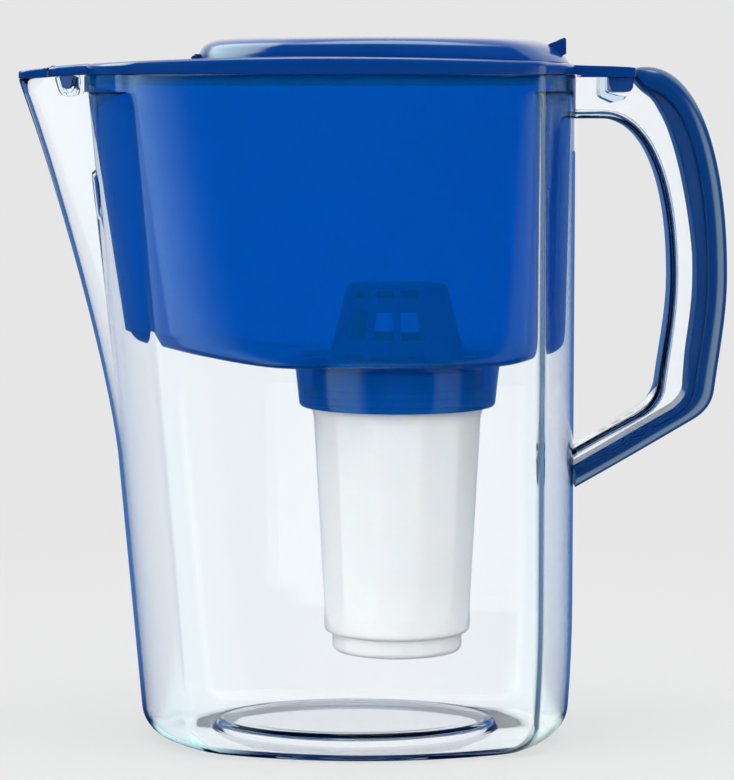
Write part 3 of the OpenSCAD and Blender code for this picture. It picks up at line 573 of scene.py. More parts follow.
# %% The hopper's wall
# The collar is given by radius and height, the flange by height and its insets at end and side.
COLLAR_OUT = [(32.4, 122.3), (32.7, COLLAR_Z), (35.3, COLLAR_Z), (35.9, 122.6), (36.1, 124)]
COLLAR_OUT += [(36.6, 129), (37.2, 134.5), (37.6, 137.2), (38.2, 138.5)]
COLLAR_IN = [(34.6, 140.4), (34.2, 139.6), (34.2, 132), (34.2, CART_SEAT_Z)]
COLLAR_IN += [(32.8, CART_SEAT_Z), (32.4, 123.9)]
FLANGE = [(SEAT_Z + 0.05, 1.5, 0), (236.2, 1.4, 0), (241.6, 1.4, 0), (RIM_Z, 1.7, 0.3)]
FLANGE += [(RIM_Z, 2.6, 1.5), (241.6, 2.9, HOPPER_WALL), (237.2, 2.9, HOPPER_WALL)]
WALL_LEVELS = [150, 165, 180, 195, 210, 225, 234.6]
QUARTERS = (0, 0.25, 0.5, 0.75)
outer_foot, inner_foot = (5, 0, 0), (3.2, HOPPER_WALL, HOPPER_WALL)
under, under_out = seat_ring(39.4, FLOOR_Z), hopper_foot(0, *outer_foot)
over, over_out = seat_ring(36, FLOOR_Z + HOPPER_WALL), hopper_foot(0, *inner_foot)
rings = [seat_ring(radius, z) for radius, z in COLLAR_OUT]
rings += [between(under, under_out, t, floor_at) for t in QUARTERS]
rings += [hopper_foot(angle, *outer_foot) for angle in range(0, 91, 15)]
rings += [flat(hopper_outline(z, 0), z) for z in WALL_LEVELS]
rings += [flat(hopper_outline(SEAT_Z, 0), SEAT_Z - 0.1)]
rings += [flange_ring(z, at_end, at_side) for z, at_end, at_side in FLANGE]
rings += [flat(hopper_outline(z, HOPPER_WALL), z) for z in WALL_LEVELS[::-1]]
rings += [hopper_foot(angle, *inner_foot) for angle in range(90, -1, -15)]
rings += [between(over, over_out, t, lambda x: floor_at(x) + HOPPER_WALL) for t in QUARTERS[::-1]]
rings += [seat_ring(radius, z) for radius, z in COLLAR_IN]
hopper = skin("hopper_bowl", rings, closed=True, angle=45)
tell(hopper)

# %% [markdown]
# ## The lid frame
#
# The frame is a glossy blue cap that lies on the rim. Its edge is a thin upright band that grows
# from the spout to the middle, and its deck runs in to the filling hole. It also has two lugs beside
# the spout, a tail that covers the top of the handle, and a latch tab under that tail.

# %% The frame's deck
FRAME_FRONT = SEAM_X + 0.8
HATCH_X, HATCH_REAR = -64.2, 70.9
HINGE_Z = 247.869


def deck_at(x):
    if x < MID_X:
        return RIM_Z + mix(3.2, 6.2, sin(pi / 2 * clamp((x - SEAM_X) / (MID_X - SEAM_X))))
    return RIM_Z + mix(6.2, 4, clamp((x - MID_X) / (REAR_X - MID_X)) ** 2)


def hatch_outline(front, side, rear, corner=5.8):
    xf, xr = HATCH_X + 0.4 + front, HATCH_REAR - rear
    return outline(xf, xr, 49.5 - side, bow_f=24, bow_r=13.5, bulge=9.6, corner=corner, spout_half=14)


def hole_outline(grow=0.0):
    return hatch_outline(8 - grow, 5 - grow, 9 - grow)


def frame_ring(inset, height, rise=0.0):
    """height is the share from the rim (0) to the top of the deck (1)."""
    ring = []
    for x, y in jug_outline(RIM_Z, inset):
        x = max(x, FRAME_FRONT + inset)
        base = RIM_Z + 0.02 - rim_drop(x, RIM_Z)
        ring.append((x, y, mix(base, deck_at(x) - 0.5 * rim_drop(x, RIM_Z), height) + rise))
    return ring


def hole_ring(grow, down):
    return [(x, y, deck_at(x) - down) for x, y in hole_outline(grow)]


def lip(inset):
    """The locating lip, which steps further in along the sides, past the hopper's straight wall."""
    return end_mix(jug_outline(RIM_Z - 4, inset, False), jug_outline(RIM_Z - 4, inset + 1.9, False))


# The frame's edge is given by inset, height and rise, the hole's edge by growth and depth.
LIP_FOOT = 238
FRAME_EDGE = [(3.4, 0), (0.5, 0), (0.12, 0.02, 0.05), (0, 0.08, 0.1), (0, 0.5), (0, 0.66)]
FRAME_EDGE += [(0.15, 0.77), (0.5, 0.88), (1.0, 0.96), (1.6, 1)]
HOLE_EDGE = [(0.5, 0), (0.15, 0.12), (0, 0.5), (0, 1.6), (0.4, 1.9)]
lip_out, lip_in = lip(3.2), lip(4.8)
rings = [frame_ring(*step) for step in FRAME_EDGE]
rings += [between(rings[-1], hole_ring(*HOLE_EDGE[0]), t, deck_at) for t in (0.33, 0.67)]
rings += [hole_ring(*step) for step in HOLE_EDGE]
rings += [between(rings[-1], flat(lip_in, RIM_Z), 0.6)]
rings += [flat(lip_in, RIM_Z), flat(lip_in, LIP_FOOT + 0.3), flat(lip(4.4), LIP_FOOT)]
rings += [flat(lip(3.6), LIP_FOOT), flat(lip_out, LIP_FOOT + 0.4), flat(lip_out, RIM_Z - 0.3)]
lid = skin("lid_deck", rings, closed=True, angle=35)
tell(lid)

# %% Tail, latch, lugs and hinge bosses
TAIL = [(64.5, 245.7), (70, 245.55), (78, 245.25), (86, 245.05), (92, 244.75), (93.9, 244.55), (94.4, 244.1)]
TAIL += [(94.5, 241.1), (REAR_X + 1.3, 241.1), (REAR_X + 1.3, 242.05), (64.5, 242.05)]
LATCH = [(-0.6, 7.1), (0, 5.7), (0.6, 1.4), (1.4, 0.2), (2.4, 0), (7, 0), (8, 0.2), (8.8, 1.4)]
LATCH += [(9.4, 5.7), (9.4, 7.1)]
HALF_LUG = [(-4.8, 0.9), (-3.2, -0.1), (-2.7, -1.1), (-2.1, -3.2), (-1.5, -4.1), (-0.5, -4.5)]
tail = plate("tail", TAIL, -HANDLE_HALF, HANDLE_HALF, bevel=0.8)
latch = plate("latch", shifted(LATCH, LATCH_X, LATCH_Z), -8.5, 8.5, bevel=0.25)
lug_points = shifted(HALF_LUG + [(-x, z) for x, z in HALF_LUG[::-1]], 0, RIM_Z - 0.5)
lugs = [plate("lug", lug_points, -4.6, -2.8, at_lug(side), bevel=0.2) for side in (1, -1)]


def rod(name, x, z, radius, y0, y1, bevel=0.15, vertices=40):
    deselect()
    bpy.ops.mesh.primitive_cylinder_add(
        vertices=vertices, radius=radius * MM, depth=(y1 - y0) * MM, rotation=(pi / 2, 0, 0)
    )
    piece = bpy.context.object
    piece.name = name
    bpy.ops.object.transform_apply(location=True, rotation=True, scale=True)
    for vertex in piece.data.vertices:
        vertex.co += Vector((x, (y0 + y1) / 2, z)) * MM
    round_edges(piece, bevel)
    return tidy_mesh(piece)


lid = cut(lid, rod("groove", HATCH_X, HINGE_Z, 1.25, -9.25, 9.25))
bosses = [rod("boss", HATCH_X, HINGE_Z, 1.0, *ends) for ends in ((9.25, 12.65), (-12.65, -9.25))]
lid = gather(lid, tail, latch, *lugs, *bosses)
tell(lid)

# %% [markdown]
# ## The filling hatch
#
# The hatch is a low dome. A steep edge turns into a broad bevel and then a nearly flat top, and
# that bevel is what catches the light, so the profile is drawn as a smooth curve through five
# stations. Underneath it is hollow. A fin at the rear is the thumb tab, and a barrel at the front
# turns in the frame.

# %% The hatch
# Each station: share of the height, then the insets at the front, the sides and the rear.
STATIONS = [(0, 0, 0, 0), (0.3, 1, 0.7, 2), (0.66, 3, 2, 6), (0.9, 7.5, 5, 13), (1, 16, 12, 26)]
HATCH_WALL, CROWN_RISE = 1.8, 13.2


def hatch_station(t):
    """Height share and insets at t, from 0 at the edge to 4 at the top, on a smooth curve."""
    k = min(3, int(t))
    u = t - k
    p0, p1, p2, p3 = (STATIONS[max(0, min(4, k + d))] for d in (-1, 0, 1, 2))
    return [
        0.5 * (2 * b + (c - a) * u + (2 * a - 5 * b + 4 * c - d) * u**2 + (3 * b - a - 3 * c + d) * u**3)
        for a, b, c, d in zip(p0, p1, p2, p3)
    ]


def hatch_ring(t, thick=0.0):
    share, front, side, rear = hatch_station(t)
    points = hatch_outline(front + thick, side + thick, rear + thick)
    return [(x, y, mix(deck_at(x) + 0.2, RIM_Z + CROWN_RISE - thick, clamp(share))) for x, y in points]


def crown_ring(share, thick=0.0):
    """A level ring that closes the top of the dome towards its middle."""
    z = RIM_Z + CROWN_RISE - thick
    return [(mix(1.0, x, share), y * share, z) for x, y, _ in hatch_ring(4, thick)]


steps = [k / 5 for k in range(21)]
rings = [crown_ring(share) for share in (0, 0.35, 0.7, 0.9)]
rings += [hatch_ring(t) for t in steps[::-1]]
for down, inset in ((0.15, 0.25), (0.1, 1.5)):
    rings += [[(x, y, z - down) for x, y, z in hatch_ring(0, inset)]]
rings += [hatch_ring(t, HATCH_WALL) for t in steps]
rings += [crown_ring(share, HATCH_WALL) for share in (0.9, 0.7, 0.35, 0)]
hatch = skin("filling_hatch", rings, angle=50)
TAB = [(60.5, 251.5), (63.4, 253.2), (65.4, 253.9), (67.2, 254.8), (68.3, 255.2), (68.8, 255.05)]
TAB += [(69.1, 254.6), (69.2, 249.6), (68.9, 249.2), (67.4, 248.8), (62, 250)]
fin = plate("thumb_tab", TAB, -13, 13, bevel=0.3)
barrel = rod("barrel", HATCH_X, HINGE_Z, 1.0, -9, 9)
pins = rod("pins", HATCH_X, HINGE_Z, 0.55, -12.2, 12.2, bevel=0.1)
web = plate("web", shifted(((0, 0), (2.2, 0), (2.2, 1.5), (0, 1.5)), HATCH_X, HINGE_Z), -9, 9)
hatch = cut(hatch, *[rod("room", HATCH_X, HINGE_Z, 1.3, *ends) for ends in ((9, 13.5), (-13.5, -9))])
hatch = gather(hatch, fin, barrel, pins, web)
tell(hatch)

# %% [markdown]
# ## The spout flap
#
# A small blue tongue covers the spout and swings up when water pushes it. It is the tip of the same
# outline, cut off at the seam, so it is lofted in the same way from the rim to its top.

# %% The flap
FLAP_X, FLAP_Z, FLAP_HALF = -115.5, 244.188, 11.4


def flap_ring(inset, share, rise=0.0):
    ring = []
    seam_x = SEAM_X + 0.3 - inset
    for x, y in jug_outline(RIM_Z, inset):
        x = min(x, seam_x)
        if x > seam_x - 0.5:
            y = copysign(min(abs(y), FLAP_HALF - inset), y)
        base = RIM_Z + 0.02 - rim_drop(x, RIM_Z)
        top_z = mix(243.6, 244.75, clamp((x - TIP_X) / 11)) - 0.25
        ring.append((x, y, mix(base, top_z, share) + rise))
    return ring


FLAP_EDGE = [(0.6, 0), (0.15, 0.05), (0, 0.18), (0, 0.6), (0.15, 0.9), (0.5, 1.0, -0.03), (1.2, 1.0)]
rings = [[(-121, 0, RIM_Z - 0.4)] * POINTS]
rings += [flap_ring(*step) for step in FLAP_EDGE]
rings += [[(-121, 0, 244.2)] * POINTS]
flap = skin("pouring_flap", rings, angle=40)
flap_rod = rod("flap_barrel", FLAP_X, FLAP_Z, 1.1, -5, 5, vertices=24)
flap_pins = rod("flap_pins", FLAP_X, FLAP_Z, 0.6, -7.2, 7.2, bevel=0.1, vertices=20)
ARM = [(-118.2, -0.7), (FLAP_X, -0.7), (FLAP_X, 0.5), (-118.2, 0.3)]
arm = plate("flap_arm", shifted(ARM, 0, FLAP_Z), -5, 5)
flap = gather(flap, flap_rod, flap_pins, arm)
tell(flap)

# %% [markdown]
# ## The filter cartridge
#
# The cartridge is a tapered white tube with twelve shallow flats moulded down its side, a stepped
# cap at its foot and a flange at its head. A lathe profile gives the rings, and the flats are a pull
# of each ring towards a twelve-sided shape that fades out above the foot.

# %% Turned rings and flats
FOOT_Z, NECK_Z = 38.7, 136.2


def turned(radius, z, flats=0.0):
    """A circle round the cartridge's axis, pulled in towards a twelve-sided shape above the foot."""
    ring = []
    for i in range(POINTS):
        turn = 360 * i / POINTS
        off = (turn + 15) % 30 - 15
        fade = flats * clamp((z - 42.5 - 6 * (off / 15) ** 2) / 4)
        r = radius * (1 - fade * (1 - cos(radians(15)) / cos(radians(off))))
        ring.append(round_axis(r, radians(turn), z))
    return ring


def housing_radius(z):
    return mix(26.8, 31.6, (z - FOOT_Z) / 85.5)


# %% The housing
# Profiles from here on are given by radius and height.
SPIGOT = [(0, 34.3), (19, 34.3), (20.8, 34.5), (22.2, 35), (22.2, FOOT_Z), (25.4, FOOT_Z)]
SPIGOT += [(26.2, 39.0), (26.75, 39.7)]
NECK = [(31.5, 121), (31.6, 124.1), (33.3, 124.25), (33.6, 124.6), (33.6, 126.3), (33.3, 126.6)]
NECK += [(31.1, 126.6), (31.1, 135.9), (30.8, NECK_Z), (29.9, NECK_Z), (29.7, 135.9), (29.7, 131.6)]
NECK += [(27.7, 131.6), (27.7, 130.2), (30, 122.2)]
NECK += [(housing_radius(z) - 1.4, z) for z in (110, 80, 50, 41.7)] + [(24.2, 40.1), (0, 40.1)]
levels = [40.6, 42.5] + [44 + k for k in range(14)] + [mix(60, 118, k / 10) for k in range(11)]
rings = [turned(*point) for point in SPIGOT]
rings += [turned(housing_radius(z), z, 0.6) for z in levels]
rings += [turned(*point) for point in NECK]
housing = skin("filter_housing", rings, angle=38)
tell(housing)

# %% The base cap with its outlet slots
CAP = [(0, 31.5), (21.6, 31.5), (22.8, 31.8), (23.6, 32.6), (23.9, 33.7), (23.9, 38.2), (23.6, 38.6)]
CAP += [(22.7, 38.6), (22.5, 38.2), (22.5, 33.2), (0, 32.9)]
cap = skin("filter_cap", [turned(*point) for point in CAP], angle=38)


def outlet_slot(turn):
    c, s = cos(turn), sin(turn)
    shape = [(7, 30), (17.9, 30), (17.9, 34.4), (7, 34.4)]
    return plate("slot", shape, -1, 1, lambda x, y, z: (CART_X + c * x - s * y, s * x + c * y, z))


cap = cut(cap, gather(*[outlet_slot(radians(30 * k)) for k in range(12)]))
tell(cap)

# %% [markdown]
# ## The intake cage
#
# Above the flange stands a blue cone with small windows on two sides, which lets tap water in and
# keeps the air lock out. Its grid of rings has an edge on every window's border, so the windows are
# faces that are deleted, and a Solidify modifier then gives the wall its thickness.

# %% The cage
HALF_WINDOW = 9.8
window_rows = [(137.8, 142.1), (147.2, 157.3), (162.4, 165.0)]
window_bearings = [side + column for side in (76, 256) for column in (-27, 0, 27)]
bearings = [window + off for window in window_bearings for off in (-HALF_WINDOW, -3.3, 3.3, HALF_WINDOW)]
spread = sorted(bearings)
for a, b in zip(spread, spread[1:] + [spread[0] + 360]):
    if b - a > 8:
        count = round((b - a) / 6)
        bearings += [a + (b - a) * k / count for k in range(1, count)]
bearings = sorted(b % 360 for b in bearings)


def cage_radius(z):
    return mix(25.4, 18.6, clamp((z - 137.8) / 27.0))


def cage_ring(radius, z):
    return [round_axis(radius, radians(bearing), z) for bearing in bearings]


CAGE = [(29.4, 132.3), (29.4, NECK_Z), (31.1, NECK_Z + 0.05), (31.1, 137.6), (25.6, 137.8)]
CAGE += [(cage_radius(z), z) for z in (142.1, 147.2, 152.2, 157.3, 162.4, 165.0)]
CAGE += [(18.2, 165.8), (17.2, 166.2), (9, 166.2), (0, 166.2)]
cage = skin("intake_cage", [cage_ring(*point) for point in CAGE], angle=38)


def in_window(middle):
    bearing = degrees(atan2(middle.y, middle.x - CART_X)) % 360
    across = min(abs((bearing - window + 180) % 360 - 180) for window in window_bearings)
    rows = any(a < middle.z < b for a, b in window_rows)
    return (across < HALF_WINDOW and rows and middle.z > 137.9) or middle.z < 132.4


pick_faces(cage, in_window)
bpy.ops.mesh.delete(type="FACE")
bpy.ops.object.mode_set(mode="OBJECT")
finish_with(cage, "SOLIDIFY", thickness=1.5 * MM, offset=-1, use_even_offset=True)
round_edges(cage, 0.25, limit=0.7)
tidy_mesh(cage, 38)
tell(cage)

# %% [markdown]
# ## Inside the cartridge
#
# The seal, the two mesh discs, the two felt pads and the bed of granules are hidden in the closed
# cartridge, and show only when it is taken apart. Each still gets the shape of the real one: a round
# ring, thin discs, soft-edged pads and a heap with a grainy top.

# %% Ring, discs, pads and granules
deselect()
bpy.ops.mesh.primitive_torus_add(
    location=(CART_X * MM, 0, 128.2 * MM),
    major_radius=32.65 * MM,
    minor_radius=1.5 * MM,
    major_segments=96,
    minor_segments=16,
)
seal = bpy.context.object
seal.name = "seal_ring"
bpy.ops.object.transform_apply(location=True, rotation=True, scale=True)
tidy_mesh(seal)


def disc(name, node, edge, taper=0.0, steps=4):
    """A disc with a soft edge in the place of a CAD node, narrower below by taper."""
    low_corner, high_corner = (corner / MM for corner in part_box(node))
    z0, z1, wide = low_corner.z, high_corner.z, (high_corner.x - low_corner.x) / 2
    narrow = wide - taper
    profile = [(narrow * k / steps * (1 - edge / narrow), z0) for k in range(steps + 1)]
    profile += [(narrow - edge * 0.3, z0 + edge * 0.3), (narrow, z0 + edge), (wide, z1 - edge)]
    profile += [(wide - edge * 0.3, z1 - edge * 0.3)]
    profile += [(wide * k / steps * (1 - edge / wide), z1) for k in range(steps, -1, -1)]
    print(node, "radius", round(wide, 2), "mm, from", round(z0, 2), "to", round(z1, 2))
    return skin(name, [turned(r, z) for r, z in profile], angle=60)


inlet_screen = disc("inlet_screen", "inlet_mesh", 0.15)
outlet_screen = disc("outlet_screen", "outlet_mesh", 0.15)
inlet_felt = disc("inlet_felt", "inlet_pad", 0.9)
outlet_felt = disc("outlet_felt", "outlet_pad", 0.9)
granules = disc("granule_bed", "filter_bed", 0.8, taper=3.5, steps=24)
grain = bpy.data.textures.new("grain", "CLOUDS")
grain.noise_scale = 1.4 * MM
finish_with(granules, "DISPLACE", texture=grain, texture_coords="LOCAL", strength=0.5 * MM, mid_level=1.0)

# %% [markdown]
# ## Finishes
#
# Every finish starts from the substance. The jug is clear SAN, injection moulded and polished, with
# a slight blue cast where light runs far inside it. The hopper is the same family of plastic with a
# blue dye, the lid, grip and cage are glossy ABS, and the cartridge is white polypropylene. One
# function turns a hex colour into the linear numbers that a shader wants, and one adds a node.

# %% Colour and nodes
def colour(code):
    channels = [int(code[k : k + 2], 16) / 255 for k in (1, 3, 5)]
    return tuple(c / 12.92 if c <= 0.04045 else ((c + 0.055) / 1.055) ** 2.4 for c in channels) + (1.0,)


def put(tree, kind, settings=None, **inputs):
    """Adds a node. An input, by name or as i0, i1, is a value or the socket that feeds it."""
    node = tree.nodes.new("ShaderNode" + kind)
    for key, value in (settings or {}).items():
        setattr(node, key, value)
    for key, value in inputs.items():
        by_number = key[0] == "i" and key[1:].isdigit()
        socket = node.inputs[int(key[1:]) if by_number else key.replace("_", " ")]
        if isinstance(value, bpy.types.NodeSocket):
            tree.links.new(value, socket)
        else:
            socket.default_value = value
    return node


def new_finish(name):
    finish = bpy.data.materials.new(name)
    finish.use_nodes = True
    tree = finish.node_tree
    tree.nodes.clear()
    return finish, tree, put(tree, "TexCoord").outputs["Object"]


def moulded(name, code, roughness, ior, peel_mm, peel_height, vary=0.04, **sockets):
    """A moulded plastic: its colour drifts a little, and its skin has the faint ripple of the tool."""
    finish, tree, place = new_finish(name)
    drift = put(tree, "TexNoise", Vector=place, Scale=1 / (35 * MM), Detail=3.0).outputs["Fac"]
    rgb = colour(code)[:3]
    low, high = (tuple(min(1, c * share) for c in rgb) + (1,) for share in (1 - vary, 1 + vary))
    tint = put(tree, "Mix", {"data_type": "RGBA"}, Factor=drift, A=low, B=high)
    smear = put(tree, "TexNoise", Vector=place, Scale=1 / (9 * MM), Detail=4.0).outputs["Fac"]
    rough = put(tree, "MapRange", Value=smear, To_Min=roughness * 0.85, To_Max=roughness * 1.15)
    peel = put(tree, "TexNoise", Vector=place, Scale=1 / (peel_mm * MM), Detail=2.0).outputs["Fac"]
    bump = put(tree, "Bump", Height=peel, Strength=1.0, Distance=peel_height * MM)
    sockets.update(Base_Color=tint.outputs[2], Roughness=rough.outputs["Result"], IOR=ior)
    shader = put(tree, "BsdfPrincipled", Normal=bump.outputs["Normal"], **sockets)
    put(tree, "OutputMaterial", Surface=shader.outputs["BSDF"])
    return finish


# %% The plastics
# After the name come colour, roughness, index of refraction, and width and height of the ripple in mm.
ABS, SAN = 1.53, 1.57
clear_san = moulded("clear_san", "#FEFEFF", 0.02, SAN, 22, 0.01, vary=0.01, Transmission_Weight=1.0)
tree = clear_san.node_tree
haze = put(tree, "VolumeAbsorption", Color=colour("#7CBCE1"), Density=34.0)
tree.links.new(haze.outputs["Volume"], tree.nodes["Material Output"].inputs["Volume"])
blue_san = moulded("dyed_blue_san", "#0088E6", 0.05, 1.5, 14, 0.01, Transmission_Weight=0.8)
lid_abs = moulded("glossy_blue_abs", "#003A86", 0.16, ABS, 1.6, 0.002)
# The grip is the lid's blue ABS, its colour made darker as painted shade on its flanks.
grip_abs_painted_shade = moulded("grip_blue_abs_painted_shade", "#003878", 0.18, ABS, 1.6, 0.002, Specular_IOR_Level=0.9)
cage_abs = moulded("cage_blue_abs", "#0060C0", 0.3, ABS, 1.6, 0.002)
glow = {"Subsurface_Weight": 0.15, "Subsurface_Scale": 2 * MM}
white_pp = moulded("white_polypropylene", "#F0EDE8", 0.3, 1.49, 1.2, 0.002, vary=0.012, **glow)
silicone = moulded("seal_silicone", "#E8E8E4", 0.45, 1.43, 0.8, 0.004, vary=0.02)

# %% [markdown]
# ## Woven screen, felt and granules
#
# The two screens are a plain weave of polyester thread, drawn about twice as coarse as the real
# 0.4 mm mesh so that it shows. The felt is a mat of fine fibres, and the granules are black carbon
# mixed with pale resin beads of about a millimetre.

# %% The inner finishes
THREAD = 0.8 * MM


def grained(name, pattern, low, high, roughness, depth_mm, invert=False, **sockets):
    """A finish from a pattern: a node tree and a place give the share of `high`, and the relief."""
    finish, tree, place = new_finish(name)
    share, relief = pattern(tree, place)
    tint = put(tree, "Mix", {"data_type": "RGBA"}, Factor=share, A=colour(low), B=colour(high)).outputs[2]
    bump = put(tree, "Bump", {"invert": invert}, Height=relief, Distance=depth_mm * MM).outputs["Normal"]
    shader = put(tree, "BsdfPrincipled", Base_Color=tint, Roughness=roughness, Normal=bump, **sockets)
    put(tree, "OutputMaterial", Surface=shader.outputs["BSDF"])
    return finish


def weave(tree, place):
    waves = []
    for axis in ("X", "Y"):
        bands = {"bands_direction": axis, "wave_profile": "SIN"}
        waves.append(put(tree, "TexWave", bands, Vector=place, Scale=1 / THREAD / 20 * 3.14).outputs["Fac"])
    crossed = put(tree, "Math", {"operation": "MULTIPLY"}, i0=waves[0], i1=waves[1]).outputs[0]
    return crossed, crossed


def fibres(tree, place):
    mat = put(tree, "TexNoise", Vector=place, Scale=1 / (0.6 * MM), Detail=6.0, Distortion=1.5).outputs["Fac"]
    return mat, mat


def grains(tree, place):
    beads = put(tree, "TexVoronoi", Vector=place, Scale=1 / (1.1 * MM)).outputs
    pick = put(tree, "SeparateColor", Color=beads["Color"]).outputs[0]
    return put(tree, "Math", {"operation": "GREATER_THAN"}, i0=pick, i1=0.6).outputs[0], beads["Distance"]


screen = grained("polyester_screen", weave, "#8E949E", "#D5D9DF", 0.5, 0.15)
felt = grained("polyester_felt", fibres, "#CFCFC9", "#F3F3EF", 0.95, 0.25, Sheen_Weight=0.2)
carbon = grained("carbon_and_resin", grains, "#1E1E20", "#B98B4E", 0.6, 0.5, invert=True)

# %% [markdown]
# ## Putting the pieces on their bodies
#
# Each piece takes its finish, rides on the body that carries it, and stands for its CAD node.

# %% Riding
for piece, finish, body, slot, node in (
    (jug, clear_san, "jug", "clear_plastic", "jug_body"),
    (grip, grip_abs_painted_shade, "jug", "blue_grip", "handle_grip"),
    (hopper, blue_san, "hopper", "blue_hopper", "hopper"),
    (lid, lid_abs, "lid", "blue_lid", "lid_frame"),
    (hatch, lid_abs, "hatch", "blue_lid", "flip_lid"),
    (flap, lid_abs, "flap", "blue_lid", "spout_flap"),
    (housing, white_pp, "cartridge", "white_plastic", "cartridge_housing"),
    (cap, white_pp, "cartridge", "white_plastic", "cartridge_base_cap"),
    (cage, cage_abs, "cartridge", "blue_cage", "cartridge_cage"),
    (seal, silicone, "cartridge", "seal_rubber", "cartridge_seal"),
    (inlet_screen, screen, "cartridge", "mesh_fabric", "inlet_mesh"),
    (outlet_screen, screen, "cartridge", "mesh_fabric", "outlet_mesh"),
    (inlet_felt, felt, "cartridge", "felt", "inlet_pad"),
    (outlet_felt, felt, "cartridge", "felt", "outlet_pad"),
    (granules, carbon, "cartridge", "granules", "filter_bed"),
):
    piece.data.materials.clear()
    piece.data.materials.append(finish)
    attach(piece, body)
    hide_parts(node)
    print(piece.name, "rides on", body)

# %% [markdown]
# ## Floor, light and camera
#
# The pitcher stands on a plain pale floor. Near it the floor takes light and shadow, and further
# out it turns into an even pale tone that meets the backdrop. Three soft boxes light the outside.
#
# Clear plastic has no colour of its own and shows what stands round it. So the room and the floor
# give each kind of ray its own answer: a ray that came straight through sees a bright backdrop
# behind the jug and blue at its sides, a ray that was mirrored sees a dusky blue room with pale
# panels, and a ray that left a piece inside the jug gathers the soft light that the clear wall
# would otherwise keep out. The answers depend on the bearing of the ray and not on the camera.

# %% Light that depends on the bearing
# These tools add to whichever tree is being built, first the floor's and then the room's. They use
# its `tree`, its `kind` of light node, the outputs of its Light Path and the ray's `way`.
PALE, BACKLIT, DUSK, BLUE, PANEL, WHITE = "#E6E6E6", "#FFFEFB", "#04285C", "#4A74B0", "#CFE6D6", "#FFFFFF"
BEHIND = (BACKLIT, 1.18)


def toward(direction, start, full):
    """1 for bearings close to a direction, fading to 0: `start` and `full` are cosines."""
    aim = Vector(direction).normalized()
    cosine = put(tree, "VectorMath", {"operation": "DOT_PRODUCT"}, i0=way, i1=aim).outputs["Value"]
    fade = {"interpolation_type": "SMOOTHSTEP"}
    return put(tree, "MapRange", fade, Value=cosine, From_Min=start, From_Max=full).outputs["Result"]


def after(bounce):
    """1 for a ray that has had a bounce of this kind, Glossy or Diffuse, on its way."""
    return put(tree, "Math", {"operation": "GREATER_THAN"}, i0=ray[bounce + " Depth"], i1=0.5).outputs[0]


def layered(under, *layers):
    """A stack of lights. A layer is a light, and the masks that all have to be 1 for it to show."""
    stack = None
    for light, *masks in ((under,), *layers):
        if isinstance(light, tuple):
            light = put(tree, kind, Color=colour(light[0]), Strength=light[1]).outputs[0]
        for mask in masks[1:]:
            masks[0] = put(tree, "Math", {"operation": "MULTIPLY"}, i0=masks[0], i1=mask).outputs[0]
        stack = put(tree, "MixShader", Fac=masks[0], i1=stack, i2=light).outputs[0] if masks else light
    return stack


def mirrored():
    """What gloss shows: a dusky blue room with a wide panel at the left and a slim one at the right."""
    front = toward((0, -1, 0), 0.0, 0.15)
    return layered(
        (DUSK, 1.0),
        ((BLUE, 1.0), toward((0, 1, 0), 0.0, 0.9)),
        (("#BCDCD6", 2.4), toward((-0.95, -0.31, 0), 0.76, 0.95), front, ray["Is Transmission Ray"]),
        ((PANEL, 1.0), toward((0.85, -0.53, 0), 0.95, 0.975), front),
        ((PANEL, 2.6), toward((1, -0.35, 0), 0.84, 0.98), ray["Is Reflection Ray"]),
    )


# %% The floor
deselect()
bpy.ops.mesh.primitive_circle_add(vertices=96, radius=9, fill_type="NGON", location=(0, 0, -0.0002))
floor = bpy.context.object
floor.name = "studio_floor"
paper, tree, place = new_finish("paper_floor")
kind = "Emission"
ray = put(tree, "LightPath").outputs
way = put(tree, "VectorMath", {"operation": "NORMALIZE"}, i0=place).outputs[0]
far = put(tree, "VectorMath", {"operation": "LENGTH"}, i0=place).outputs["Value"]
least = put(tree, "Math", {"operation": "MULTIPLY"}, i0=ray["Is Camera Ray"], i1=0.75).outputs[0]
even = put(tree, "MapRange", Value=far, From_Min=0.12, From_Max=0.7, To_Min=least).outputs["Result"]
# Within 6 to 8 cm of the jug's middle, a ray that was mirrored finds the floor dark dusky blue: a painted
# contact shadow under the jug.
past_painted_shadow = put(tree, "MapRange", Value=far, From_Min=0.06, From_Max=0.08).outputs["Result"]
surface = layered(
    put(tree, "BsdfDiffuse", Color=colour("#E2E2E2")).outputs[0],
    ((PALE, 1.0), even),
    (layered(BEHIND, ((PALE, 0.4), after("Diffuse"))), ray["Is Transmission Ray"]),
    # Mirrored rays: a painted contact shadow in dusky blue near the jug, the room's gloss further out.
    (layered((DUSK, 1.0), (mirrored(), past_painted_shadow)), after("Glossy")),
)
put(tree, "OutputMaterial", Surface=surface)
floor.data.materials.append(paper)

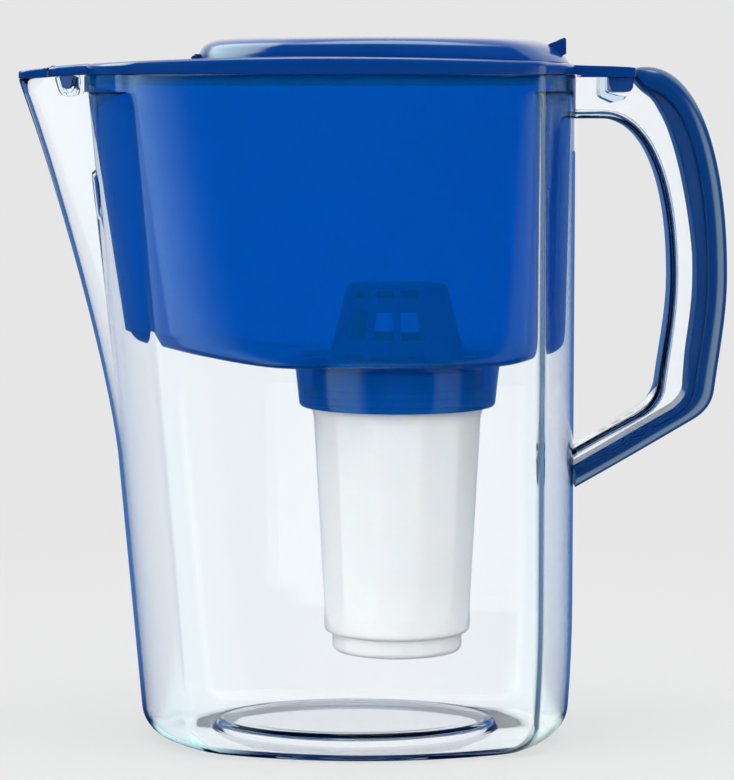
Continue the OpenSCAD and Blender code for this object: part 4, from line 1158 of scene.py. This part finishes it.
# %% The room
room = bpy.data.worlds.new("room")
bpy.context.scene.world = room
room.use_nodes = True
tree = room.node_tree
tree.nodes.clear()
kind = "Background"
ray = put(tree, "LightPath").outputs
way = put(tree, "TexCoord").outputs["Generated"]
direct = ray["Is Reflection Ray"]
gloss = layered(
    mirrored(),
    ((BACKLIT, 1.0), toward((0, 1, 0.15), 0.93, 0.98)),
    ((WHITE, 1.1), toward((0, 0.85, 0.45), 0.75, 0.9), direct),
    ((PANEL, 8.0), toward((0, 0.12, 1), 0.92, 0.98), direct),
    ((PANEL, 7.0), toward((-0.6, 0.42, 0.66), 0.88, 0.95), direct),
    ((PANEL, 1.6), toward((0.6, 0.42, 0.66), 0.88, 0.95), direct),
)
inward = layered(
    (WHITE, 0.5),
    ((WHITE, 4.0), toward((0.6, 0.8, 0.2), -0.1, 0.95)),
    ((WHITE, 6.4), toward((-0.45, -0.85, 0.3), -0.1, 0.95)),
)
through = layered(
    ("#143C78", 1.0),
    (("#C4D5EC", 1.0), toward((0, 1, 0), 0.3, 0.75)),
    (BEHIND, toward((0, 1, 0), 0.84, 0.96)),
    (gloss, after("Glossy")),
    (inward, after("Diffuse")),
)
above = layered((WHITE, 0.15), ((WHITE, 0.9), toward((0, 0.3, 1), -0.3, 0.9)))
seen = layered(
    above,
    (gloss, ray["Is Glossy Ray"]),
    (through, ray["Is Transmission Ray"]),
    ((PALE, 1.0), ray["Is Camera Ray"]),
)
put(tree, "OutputWorld", Surface=seen)


# %% Soft boxes
MIDDLE = (0, 0, 0.13)


def softbox(name, place, width, height, watts):
    lamp = bpy.data.lights.new(name, "AREA")
    lamp.shape, lamp.size, lamp.size_y, lamp.energy = "RECTANGLE", width, height, watts
    box = bpy.data.objects.new(name, lamp)
    bpy.context.scene.collection.objects.link(box)
    box.location = place
    box.rotation_euler = (Vector(MIDDLE) - Vector(place)).to_track_quat("-Z", "Y").to_euler()
    box.visible_glossy = False
    box.visible_transmission = False


softbox("left_softbox", (-0.85, -0.85, 0.4), 0.5, 0.9, 3.4)
softbox("right_softbox", (0.95, -0.75, 0.4), 0.5, 0.9, 3)
softbox("top_softbox", (0, -0.1, 1.3), 0.9, 0.7, 9)

# %% The camera
lens = bpy.data.cameras.new("camera")
lens.lens, lens.sensor_width, lens.clip_end = 145.8, 36.0, 50
camera = bpy.data.objects.new("camera", lens)
bpy.context.scene.collection.objects.link(camera)
camera.location = (-0.0022, -1.15, 0.2418)
camera.rotation_euler = (radians(90 - 5.69), 0, 0)
bpy.context.scene.camera = camera
bpy.context.scene.view_settings.view_transform = "Standard"
